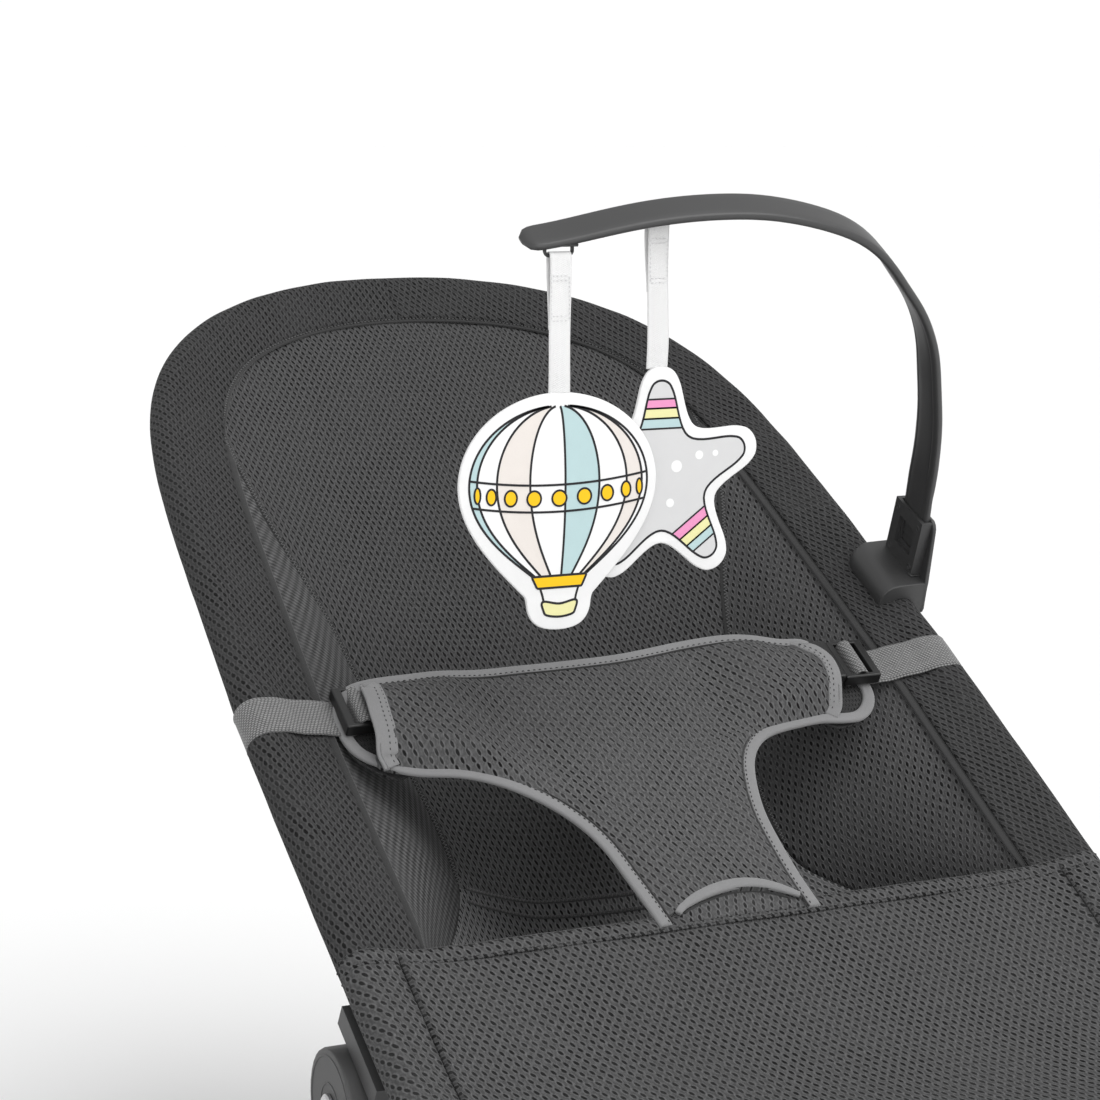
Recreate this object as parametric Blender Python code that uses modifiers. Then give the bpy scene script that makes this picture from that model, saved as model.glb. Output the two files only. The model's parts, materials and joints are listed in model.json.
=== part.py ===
# Baby bouncer: a reclining mesh seat on a springy tube base, with a three-point
# harness and a plug-in toy bar. Metres, +Z up. +Y points to the head end, +X is
# the side that carries the toy bar. The floor is z = 0.
import bpy
import bmesh
import math
from mathutils import Vector, Matrix

# ------------------------------------------------------------------ dimensions
SEAT_TILT = math.radians(30.71)     # slope of the seat's tube plane
STRAP_HEIGHT = 0.345                # height of the tube plane at the waist strap
SHIFT_Y = 0.02824                   # puts the middle of the footprint at y = 0
BEND_START = -0.230                 # length along the seat where the tube flattens out
BEND_RADIUS = 0.200
FOOT_TILT = math.radians(8.0)       # slope of the foot end
HEM = -0.1665                       # upper hem of the front panel

OUTLINE_A, OUTLINE_TAPER = 0.2057, 0.0462   # half width at s = 0, and how fast it narrows
HEAD_START, HEAD_LENGTH = 0.0626, 0.3138    # where the head's curve starts, and its length
HEAD_P, HEAD_R = 4.5315, 2.1167
WIDEST = 0.2068
FOOT_START, FOOT_LENGTH = -0.300, 0.120
FOOT_P, FOOT_R = 2.4, 2.3

TUBE_R = 0.008                      # 16 mm steel tube
ROLL_R = 0.0105                     # fabric sleeve round the tube
BAND = 0.041                        # sleeve's full width, outer edge to seam
FABRIC = 0.0026                     # thickness of a mesh fabric panel
GAP = 0.0003

HINGE_S, HINGE_N = -0.200, -0.052   # recline axis, along the seat and below the tube plane
DISC_R = 0.028
LEG_X = 0.2014
RAIL_Z = 0.0125
NOSE_R = 0.060                      # hairpin radius
LEG_ANGLE = math.radians(25.0)
REAR_Y = 0.290                      # rear bow, centre line, before the shift
REAR_CORNER = 0.085
COUPLER_Y = -0.150

STRAP_S = -0.0055                   # waist strap's centre along the seat
STRAP_W = 0.0236
BUCKLE_W = 0.0290
BUCKLE_LIFT = 0.0044                # buckle's height above the tube plane
BUCKLE_X = -0.0035                  # the harness has slid to the left: buckles,
LINING_X = -0.0090                  # lower layer
HARNESS_X = -0.0098                 # and upper layer with the crotch tab

SOCKET_LEAN = math.radians(10.0)    # toy bar leans to the head
SOCKET_S, SOCKET_N = 0.0507, 0.0275
BAR_LEAN_X = -0.10

BALLOON_X, BALLOON_Y = -0.0668, -0.0745   # ribbons' centres, measured from the strap centre
STAR_X, STAR_Y = -0.0124, -0.0700
RIBBON_W = 0.0112

SIN, COS = math.sin(SEAT_TILT), math.cos(SEAT_TILT)

# --------------------------------------------------------------------- scene
for old in list(bpy.data.objects):
    bpy.data.objects.remove(old, do_unlink=True)

parts = bpy.data.collections.new("baby_bouncer")
bpy.context.scene.collection.children.link(parts)
cutters = bpy.data.collections.new("cutters")
bpy.context.scene.collection.children.link(cutters)


def material(name, rgb, rough, metallic=0.0):
    m = bpy.data.materials.new(name)
    m.use_nodes = True
    b = m.node_tree.nodes["Principled BSDF"]
    b.inputs["Base Color"].default_value = (*rgb, 1.0)
    b.inputs["Roughness"].default_value = rough
    b.inputs["Metallic"].default_value = metallic
    m.diffuse_color = (*rgb, 1.0)
    return m


def own(base, name):
    m = base.copy()
    m.name = name + "_material"
    return m


MESH_GREY = material("mesh_fabric", (0.080, 0.080, 0.081), 0.95)
BORDER_GREY = material("border_fabric", (0.090, 0.090, 0.091), 0.95)
HARNESS_GREY = material("harness_fabric", (0.105, 0.105, 0.106), 0.95)
WEBBING_GREY = material("webbing", (0.110, 0.110, 0.112), 0.85)
STEEL = material("painted_steel", (0.045, 0.045, 0.047), 0.40, 0.3)
BARE_STEEL = material("bare_steel", (0.55, 0.55, 0.56), 0.35, 1.0)
PLASTIC = material("grey_plastic", (0.060, 0.060, 0.061), 0.45)
BLACK = material("black_plastic", (0.012, 0.012, 0.012), 0.35)
RUBBER = material("rubber", (0.020, 0.020, 0.020), 0.80)
RIBBON = material("ribbon", (0.86, 0.86, 0.86), 0.80)
TOY = material("printed_felt", (0.80, 0.80, 0.78), 0.85)


# ------------------------------------------------------------------- geometry
def at(x, s, n):
    """World point x across the seat, s along its tube plane and n above it."""
    if s >= BEND_START:
        slope = SEAT_TILT
        y, z = s * COS, s * SIN
    else:
        d = BEND_START - s
        turn = min(d / BEND_RADIUS, SEAT_TILT - FOOT_TILT)
        slope = SEAT_TILT - turn
        y = BEND_START * COS - BEND_RADIUS * (SIN - math.sin(slope))
        z = BEND_START * SIN - BEND_RADIUS * (math.cos(slope) - COS)
        rest = d - turn * BEND_RADIUS
        y -= rest * math.cos(slope)
        z -= rest * math.sin(slope)
    return Vector((x, SHIFT_Y + y - n * math.sin(slope),
                   STRAP_HEIGHT + z + n * math.cos(slope)))


def seat_matrix():
    """Axes across, along and out of the seat, at the strap's centre."""
    m = Matrix(((1, 0, 0, 0), (0, COS, -SIN, SHIFT_Y), (0, SIN, COS, STRAP_HEIGHT), (0, 0, 0, 1)))
    return m


SEAT = seat_matrix()
HINGE = at(0, HINGE_S, HINGE_N)


def half_width(s):
    return min(OUTLINE_A - OUTLINE_TAPER * s, WIDEST)


def head_edge(deg):
    t = math.radians(deg)
    s = HEAD_START + HEAD_LENGTH * math.sin(t) ** (2 / HEAD_P)
    return half_width(s) * math.cos(t) ** (2 / HEAD_R) if deg < 90 else 0.0, s


def foot_edge(deg):
    t = math.radians(deg)
    s = FOOT_START - FOOT_LENGTH * math.sin(t) ** (2 / FOOT_P)
    return half_width(s) * math.cos(t) ** (2 / FOOT_R) if deg < 90 else 0.0, s


def mirrored(half):
    """A right half that ends on the middle line, run on down the left side."""
    return half + [(-x, s) for x, s in reversed(half[:-1])]


def normals(line):
    out = []
    for i in range(len(line)):
        a = line[max(i - 1, 0)]
        b = line[min(i + 1, len(line) - 1)]
        tx, ts = b[0] - a[0], b[1] - a[1]
        k = math.hypot(tx, ts)
        out.append((ts / k, -tx / k))
    return out


def offset(line, d):
    """The line moved d to its right hand side."""
    return [(p[0] + d * m[0], p[1] + d * m[1]) for p, m in zip(line, normals(line))]


HEAD_DEGREES = (0.3, 1.5, 4, 8, 14, 22, 31, 40, 49, 58, 66, 73, 79, 84.5, 90)
FOOT_DEGREES = (0, 10, 20, 30, 40, 50, 59, 67, 74, 80, 85, 90)

head_outline = mirrored([(half_width(s), s) for s in (HEM, -0.06, 0.03)] + [head_edge(d) for d in HEAD_DEGREES])
head_line = offset(head_outline, -ROLL_R)
foot_half = [(half_width(s), s) for s in (HEM - 0.0006, -0.2, BEND_START, -0.247, -0.265, -0.283)]
foot_half += [foot_edge(d) for d in FOOT_DEGREES]
foot_outline = [(-x, s) for x, s in foot_half] + [(x, s) for x, s in reversed(foot_half[:-1])]
foot_line = offset(foot_outline, -ROLL_R)

# -------------------------------------------------------------------- builders


def link(obj, collection=None):
    (collection or parts).objects.link(obj)
    return obj


def mesh_object(name, bm, mat, collection=None, smooth=True):
    bmesh.ops.recalc_face_normals(bm, faces=bm.faces[:])
    me = bpy.data.meshes.new(name)
    bm.to_mesh(me)
    bm.free()
    if mat:
        me.materials.append(own(mat, name))
    if smooth:
        me.shade_smooth()
        me.set_sharp_from_angle(angle=math.radians(35))
    return link(bpy.data.objects.new(name, me), collection)


def loft(name, rings, mat, bore=None, collection=None):
    """Skin equal rings; bore is a second set of rings inside the first."""
    bm = bmesh.new()

    def skin(loops):
        made = [[bm.verts.new(p) for p in ring] for ring in loops]
        for a, b in zip(made, made[1:]):
            k = len(a)
            for i in range(k):
                bm.faces.new((a[i], a[(i + 1) % k], b[(i + 1) % k], b[i]))
        return made

    outer = skin(rings)
    if bore:
        inner = skin(bore)
        for end in (0, -1):
            a, b = outer[end], inner[end]
            k = len(a)
            for i in range(k):
                bm.faces.new((a[i], a[(i + 1) % k], b[(i + 1) % k], b[i]))
    else:
        bm.faces.new(outer[0])
        bm.faces.new(outer[-1])
    return mesh_object(name, bm, mat, collection)


def sheet(name, rows, mat, thickness=FABRIC, centred=0.0):
    """An open surface from rows of points, made solid."""
    bm = bmesh.new()
    made = [[bm.verts.new(p) for p in row] for row in rows]
    for a, b in zip(made, made[1:]):
        for i in range(len(a) - 1):
            bm.faces.new((a[i], a[i + 1], b[i + 1], b[i]))
    obj = mesh_object(name, bm, mat)
    mod = obj.modifiers.new("thickness", "SOLIDIFY")
    mod.thickness = thickness
    mod.offset = centred
    return obj


def tube(name, points, radius, mat, resolution=3):
    cu = bpy.data.curves.new(name, "CURVE")
    cu.dimensions = "3D"
    cu.bevel_depth = radius
    cu.bevel_resolution = resolution
    cu.use_fill_caps = True
    sp = cu.splines.new("POLY")
    sp.points.add(len(points) - 1)
    for p, q in zip(sp.points, points):
        p.co = (q[0], q[1], q[2], 1.0)
    sp.use_smooth = True
    cu.materials.append(own(mat, name))
    return link(bpy.data.objects.new(name, cu))


def plate(name, outline, thickness, matrix, mat, bevel=0.0):
    """A flat outline in the matrix's XY plane, thickness split about it."""
    cu = bpy.data.curves.new(name, "CURVE")
    cu.dimensions = "2D"
    cu.fill_mode = "BOTH"
    cu.extrude = thickness / 2 - bevel
    cu.bevel_depth = bevel
    cu.bevel_resolution = 0
    sp = cu.splines.new("POLY")
    sp.points.add(len(outline) - 1)
    for p, q in zip(sp.points, outline):
        p.co = (q[0], q[1], 0.0, 1.0)
    sp.use_cyclic_u = True
    if mat:
        cu.materials.append(own(mat, name))
    obj = link(bpy.data.objects.new(name, cu))
    obj.matrix_world = matrix
    return obj


def solid_of(obj, collection=None):
    """The curve object's evaluated shape as a welded mesh object."""
    bpy.context.view_layer.update()
    ev = obj.evaluated_get(bpy.context.evaluated_depsgraph_get())
    me = bpy.data.meshes.new_from_object(ev)
    bm = bmesh.new()
    bm.from_mesh(me)
    bmesh.ops.remove_doubles(bm, verts=bm.verts[:], dist=0.00002)
    bmesh.ops.recalc_face_normals(bm, faces=bm.faces[:])
    bm.to_mesh(me)
    bm.free()
    name, matrix = obj.name, obj.matrix_world.copy()
    mats = [m for m in obj.data.materials]
    bpy.data.objects.remove(obj, do_unlink=True)
    me.name = name
    me.materials.clear()
    for m in mats:
        me.materials.append(m)
    new = bpy.data.objects.new(name, me)
    new.matrix_world = matrix
    return link(new, collection)


def box(name, low, high, matrix, mat=None, bevel=0.0, segments=2, collection=None):
    bm = bmesh.new()
    size = [b - a for a, b in zip(low, high)]
    mid = [(a + b) / 2 for a, b in zip(low, high)]
    bmesh.ops.create_cube(bm, size=1.0, matrix=Matrix.Translation(mid) @ Matrix.Diagonal((*size, 1.0)))
    bmesh.ops.transform(bm, matrix=matrix, verts=bm.verts[:])
    if bevel:
        bmesh.ops.bevel(bm, geom=bm.edges[:], offset=bevel, segments=segments, profile=0.5, affect="EDGES")
    obj = mesh_object(name, bm, mat, collection)
    return obj


def cylinder(name, radius, low, high, centre, mat=None, sides=32, collection=None, axis="X", bevel=0.0):
    """A round bar along X from low to high, or along Z."""
    bm = bmesh.new()
    turn = Matrix.Rotation(math.pi / 2, 4, "Y") if axis == "X" else Matrix.Identity(4)
    place = Vector(centre)
    mid = (low + high) / 2
    if axis == "X":
        place.x = mid
    else:
        place.z = mid
    bmesh.ops.create_cone(bm, cap_ends=True, segments=sides, radius1=radius, radius2=radius,
                          depth=high - low, matrix=Matrix.Translation(place) @ turn)
    if bevel:
        rims = [e for e in bm.edges if len(e.link_faces) == 2 and any(len(f.verts) > 4 for f in e.link_faces)]
        bmesh.ops.bevel(bm, geom=rims, offset=bevel, segments=2, profile=0.5, affect="EDGES")
    return mesh_object(name, bm, mat, collection)


def prism(name, outline, low, high, place, mat=None, collection=None):
    """outline points (a, b) and a run from low to high, turned into the world by place(a, b, c)."""
    rings = [[place(a, b, c) for a, b in outline] for c in (low, high)]
    return loft(name, rings, mat, collection=collection)


def hide(obj):
    obj.hide_render = True
    obj.display_type = "WIRE"
    return obj


joined = {}                         # the hidden shapes that each piece is cut or joined with


def combine(obj, other, operation):
    """other is kept as a hidden cutter."""
    for c in list(other.users_collection):
        c.objects.unlink(other)
    joined.setdefault(obj.name, []).append(other)
    cutters.objects.link(other)
    hide(other)
    mod = obj.modifiers.new(operation.lower(), "BOOLEAN")
    mod.operation = operation
    mod.object = other
    mod.solver = "EXACT"
    return obj


def ribbon(path, thickness):
    """Closed outline of a strip whose middle line is the path."""
    left = offset(path, -thickness / 2)
    right = offset(path, thickness / 2)
    return left + list(reversed(right))


def arc(cx, cy, r, a0, a1, count):
    out = []
    for i in range(count):
        a = math.radians(a0 + (a1 - a0) * i / (count - 1))
        out.append((cx + r * math.cos(a), cy + r * math.sin(a)))
    return out


# ------------------------------------------------------------ seat tube, fabric
def line_points(line):
    return [at(x, s, 0) for x, s in line]


head_tube = [(head_line[0][0], -0.2247)] + [(head_line[0][0], -0.20)] + head_line[0:1] + head_line[1:-1] + \
    head_line[-1:] + [(head_line[-1][0], -0.20)] + [(head_line[-1][0], -0.2247)]
tube("seat_tube_head", line_points(head_tube), TUBE_R, STEEL)
foot_tube = [(foot_line[1][0], -0.2253)] + foot_line[2:-2] + [(foot_line[-2][0], -0.2253)]
tube("seat_tube_foot", line_points(foot_tube), TUBE_R, STEEL)


def band_section():
    """Outer loop (a outward, b up) of the sleeve round the side tube, down to its seam."""
    loop = arc(0, 0, ROLL_R, -90, 90, 7)
    tail = -(BAND - ROLL_R)
    loop += [(-0.009, 0.0082), (-0.0165, 0.0028), (tail, 0.0014), (tail, -0.0014), (-0.0165, -0.0028), (-0.009, -0.0082)]
    return loop


def sections(line, loop):
    rings = []
    for (x, s), (mx, ms) in zip(line, normals(line)):
        rings.append([at(x + a * mx, s + a * ms, b) for a, b in loop])
    return rings


outer_loop = band_section()
bore_angles = [-90, -60, -30, 0, 30, 60, 90, 118, 146, 170, 190, 214, 242]
bore_loop = [(0.0087 * math.cos(math.radians(a)), 0.0087 * math.sin(math.radians(a))) for a in bore_angles]
loft("border_sleeve", sections(head_line, outer_loop), BORDER_GREY, bore=sections(head_line, bore_loop))

wrap = (-54, -20, 20, 55, 90, 125, 160, 200, 234)
c_loop = [(ROLL_R * math.cos(math.radians(a)), ROLL_R * math.sin(math.radians(a))) for a in wrap]
c_loop += [(0.0088 * math.cos(math.radians(a)), 0.0088 * math.sin(math.radians(a))) for a in reversed(wrap)]
loft("foot_sleeve", sections(foot_line, c_loop), BORDER_GREY)


def front_rows():
    """Front panel, between the foot sleeve's sides, from the hem to the foot end."""
    edge = offset(foot_line, -(ROLL_R + 0.0012))
    half = edge[: len(edge) // 2 + 1]
    rows = []
    for x, s in half[:-2]:
        w = abs(x)
        sag = 0.004 * min(1.0, max(0.0, (HEM - s) / 0.05))
        row = []
        for i in range(9):
            f = -1 + 2 * i / 8
            row.append(at(w * f, s, -sag * (1 - f * f)))
        rows.append(row)
    return rows


sheet("front_panel", front_rows(), MESH_GREY, thickness=0.0036)

# sling: back panel, seat panel and the two side gussets
SEAM_LOW = -0.0600


# seam between the back panel and the side gusset: along the seat, half width, depth
SIDE_SEAM = ((0.2400, 0.1485, 0.0004), (0.2100, 0.1462, 0.0026), (0.1700, 0.1415, 0.0075), (0.1460, 0.1350, 0.0150),
             (0.1200, 0.1262, 0.0245), (0.1000, 0.1200, 0.0325), (0.0800, 0.1153, 0.0405), (0.0500, 0.1085, 0.0505),
             (0.0200, 0.1020, 0.0585), (-0.0100, 0.0965, 0.0650), (-0.0350, 0.0945, 0.0690), (-0.0600, 0.0950, 0.0725))


def side_seam(s, column):
    """Half width (1) or depth (2) of the side seam at s."""
    s = min(max(s, SIDE_SEAM[-1][0]), SIDE_SEAM[0][0])
    for a, b in zip(SIDE_SEAM, SIDE_SEAM[1:]):
        if s >= b[0]:
            return b[column] + (a[column] - b[column]) * (s - b[0]) / (a[0] - b[0])


def back_width(s):
    """Half width of the back panel below the point where it leaves the sleeve's seam."""
    return side_seam(s, 1)


def centre_depth(s):
    return 0.095 * max((0.334 - s) / 0.394, 0.0) ** 1.35


def edge_depth(s):
    return side_seam(s, 2)


def back_point(f, w, s):
    n = -centre_depth(s) + (centre_depth(s) - edge_depth(s)) * abs(f) ** 2.5
    return at(w * f, s, n)


# its upper edge follows the sleeve's seam, its lower part narrows into the pocket
seam_line = offset(head_outline, -(BAND + 0.0016))[: len(head_outline) // 2]
back_edge = [p for p in reversed(seam_line) if p[1] > 0.242 and p[0] > 0.012]
back_edge += [(back_width(s) - 0.0015, s) for s in (0.228, 0.205, 0.170, 0.146, 0.120, 0.100, 0.080, 0.050, 0.020, -0.010,
                                                    -0.035, SEAM_LOW + 0.0015)]
sheet("back_panel", [[back_point(-1 + 2 * i / 10, w, s) for i in range(11)] for w, s in back_edge], MESH_GREY)


def bezier(points, t):
    k = 1 - t
    w = (k * k * k, 3 * k * k * t, 3 * k * t * t, t * t * t)
    return [sum(a * p[i] for a, p in zip(w, points)) for i in range(len(points[0]))]


SEAT_CENTRE = ((SEAM_LOW, -0.0955), (-0.085, -0.112), (-0.135, -0.105), (HEM + 0.001, -0.0045))
SEAT_EDGE = ((0.0950, SEAM_LOW, -0.0725), (0.098, -0.082, -0.080), (0.136, -0.130, -0.066), (0.1600, HEM + 0.001, -0.0045))


def seat_point(f, t):
    sc, nc = bezier(SEAT_CENTRE, t)
    w, se, ne = bezier(SEAT_EDGE, t)
    k = abs(f) ** 2.5
    return at((w - 0.0015) * f, sc + (se - sc) * k, nc + (ne - nc) * k)


sheet("seat_panel", [[seat_point(-1 + 2 * i / 8, 0.012 + 0.976 * j / 8) for i in range(9)] for j in range(9)], MESH_GREY)


GUSSET_TOP = 0.200
sleeve_edge = sorted((s, x) for x, s in offset(head_outline, -(BAND + 0.0028))[: len(head_outline) // 2])


def sleeve_edge_x(s):
    """Where the gusset meets the sleeve's seam at s."""
    for (s0, x0), (s1, x1) in zip(sleeve_edge, sleeve_edge[1:]):
        if s0 <= s <= s1:
            return x0 + (x1 - x0) * (s - s0) / (s1 - s0)
    return sleeve_edge[0][1]


def gusset_inner(v):
    """Lower edge of the side gusset, v 0 at its upper tip, 1 at the seat seam, 2 at the hem."""
    if v <= 1:
        s = GUSSET_TOP + (SEAM_LOW - GUSSET_TOP) * v
        return back_width(s) + 0.0018, s, -edge_depth(s)
    w, s, n = bezier(SEAT_EDGE, 0.976 * (v - 1))
    return w + 0.0018, s, n


def gusset_rows(side):
    rows = []
    for j in range(16):
        v = 2 * j / 15
        xi, si, ni = gusset_inner(v)
        so = max(si, HEM + 0.003)
        xo, no = sleeve_edge_x(so), 0.0
        xi = min(xi, xo - 0.0008)
        row = []
        for i in range(4):
            f = i / 3
            bow = 0.004 * math.sin(math.pi * f) * min(1, v)
            row.append(at(side * (xi + (xo - xi) * f - bow * 0.3), si + (so - si) * f, ni + (no - ni) * f + bow * 0.3))
        rows.append(row)
    return rows


for side, tag in ((-1, "left"), (1, "right")):
    sheet("side_gusset_" + tag, gusset_rows(side), MESH_GREY, thickness=0.002)

# --------------------------------------------------------------------- harness
# half outline: where each row crosses the middle line, then its end (x, s)
HARNESS_ROWS = ((0.0240, 0.1180, 0.0215), (0.0120, 0.1290, 0.0120), (-0.0020, 0.1318, -0.0030),
                (-0.0160, 0.1312, -0.0200), (-0.0300, 0.1280, -0.0360), (-0.0440, 0.1000, -0.0460),
                (-0.0560, 0.0800, -0.0550), (-0.0680, 0.0650, -0.0670), (-0.0820, 0.0560, -0.0810),
                (-0.1000, 0.0495, -0.1000), (-0.1200, 0.0465, -0.1200), (-0.1440, 0.0455, -0.1440),
                (-0.1625, 0.0455, -0.1625))


def harness_rows(level, reach, shift):
    rows = []
    for sc, w, se in HARNESS_ROWS:
        w += reach * max(0.0, (w - 0.09) / 0.04)
        row = []
        for i in range(11):
            f = -1 + 2 * i / 10
            x = w * f
            wing = min(max((abs(x) - 0.043) / 0.045, 0.0), 1.0)
            n = level(wing, 1 - (x / 0.145) ** 2, se)
            row.append(at(x + shift, sc + (se - sc) * f * f, n))
        rows.append(row)
    return rows


sheet("harness_top", harness_rows(lambda wing, mid, s: 0.0045 + 0.0052 * wing + BUCKLE_LIFT * wing, 0.0, HARNESS_X), HARNESS_GREY, thickness=0.0022)
sheet("harness_lining", harness_rows(lambda wing, mid, s: 0.0012 - 0.0068 * wing + BUCKLE_LIFT * wing, 0.013, LINING_X), HARNESS_GREY, thickness=0.0016)


def buckle_box(name, side, x, s, n, mat=None, bevel=0.0, collection=None):
    """Box in the buckle's own place, lifted so that the plug pulls out over the sleeve."""
    low = (BUCKLE_X + min(side * x[0], side * x[1]), s[0], n[0] + BUCKLE_LIFT)
    high = (BUCKLE_X + max(side * x[0], side * x[1]), s[1], n[1] + BUCKLE_LIFT)
    return box(name, low, high, SEAT, mat, bevel, 2, collection)


BS0, BS1 = STRAP_S - BUCKLE_W / 2, STRAP_S + BUCKLE_W / 2
for side, tag in ((-1, "left"), (1, "right")):
    sock = buckle_box("buckle_socket_" + tag, side, (0.1005, 0.1308), (BS0, BS1), (-0.0012, 0.0074), BLACK, 0.0009)
    combine(sock, buckle_box("socket_cavity_" + tag, side, (0.1085, 0.1330), (BS0 + 0.003, BS1 - 0.003), (0.0008, 0.0056)), "DIFFERENCE")
    combine(sock, buckle_box("socket_windows_" + tag, side, (0.1175, 0.1262), (BS0 - 0.003, BS1 + 0.003), (0.0014, 0.0050)), "DIFFERENCE")
    combine(sock, buckle_box("socket_slot_" + tag, side, (0.1030, 0.1060), (BS0 + 0.0028, BS1 - 0.0028), (-0.005, 0.010)), "DIFFERENCE")
    plug = buckle_box("buckle_plug_" + tag, side, (0.1312, 0.1530), (BS0, BS1), (-0.0008, 0.0060), BLACK, 0.0008)
    combine(plug, buckle_box("plug_window_a_" + tag, side, (0.1352, 0.1400), (BS0 + 0.0026, BS1 - 0.0026), (-0.005, 0.010)), "DIFFERENCE")
    combine(plug, buckle_box("plug_window_b_" + tag, side, (0.1436, 0.1484), (BS0 + 0.0026, BS1 - 0.0026), (-0.005, 0.010)), "DIFFERENCE")
    combine(plug, buckle_box("plug_tongue_" + tag, side, (0.1095, 0.1322), (STRAP_S - 0.002, STRAP_S + 0.002), (0.0014, 0.0050)), "UNION")
    for up, word in ((1, "upper"), (-1, "lower")):
        out = BUCKLE_W / 2 - 0.0034
        pts = [(0.1309, out - 0.0044), (0.1309, out - 0.0012), (0.1262, out - 0.0008), (0.1254, out), (0.1185, out),
               (0.1125, out - 0.0018), (0.1100, out - 0.0050), (0.1112, out - 0.0062), (0.1180, out - 0.0036), (0.1262, out - 0.0040)]
        prism("buckle_prong_%s_%s" % (word, tag), pts, 0.0015, 0.0049,
              lambda a, b, c, side=side, up=up: at(BUCKLE_X + side * a, STRAP_S + up * b, c + BUCKLE_LIFT), BLACK)

    # waist strap: round the sleeve, over its shoulder, through the plug's bar
    cx = half_width(STRAP_S) - ROLL_R
    ring = ROLL_R + 0.0012
    path = [(0.1346, -0.0023), (0.1376, -0.0018), (0.1382, 0.0010), (0.1384, 0.0052), (0.1394, 0.0070), (0.1418, 0.0077),
            (0.1442, 0.0070), (0.1452, 0.0052), (0.1454, 0.0010), (0.1460, -0.0018), (0.1490, -0.0023), (0.1540, -0.0020)]
    path = [(a + side * BUCKLE_X, b + BUCKLE_LIFT) for a, b in path]
    path += [(0.1600, 0.0026), (cx - BAND + ROLL_R + 0.0005, 0.0036), (cx - 0.018, 0.0052), (cx - 0.0095, 0.0097)]
    path += arc(cx, 0, ring, 90, -90, 9)
    path += [(cx - 0.0095, -0.0097), (cx - 0.018, -0.0052), (cx - 0.0235, -0.0046)]
    strip = ribbon(path, 0.0012)
    strip = [(side * a, b) for a, b in strip]
    # outline axes: across and out of the seat; the run is along the seat
    frame = Matrix(((1, 0, 0, 0), (0, -SIN, COS, SHIFT_Y + STRAP_S * COS), (0, COS, SIN, STRAP_HEIGHT + STRAP_S * SIN), (0, 0, 0, 1)))
    plate("waist_strap_" + tag, strip, STRAP_W, frame, WEBBING_GREY)

# ------------------------------------------------------------- recline hinges
HY, HZ = HINGE.y, HINGE.z
LOCK_R = 0.0185                        # lock bolt's distance below the recline axis
LOCK = HINGE + Vector((0, SIN, -COS)) * LOCK_R


def x_span(side, a, b):
    return (min(side * a, side * b), max(side * a, side * b))


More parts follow.
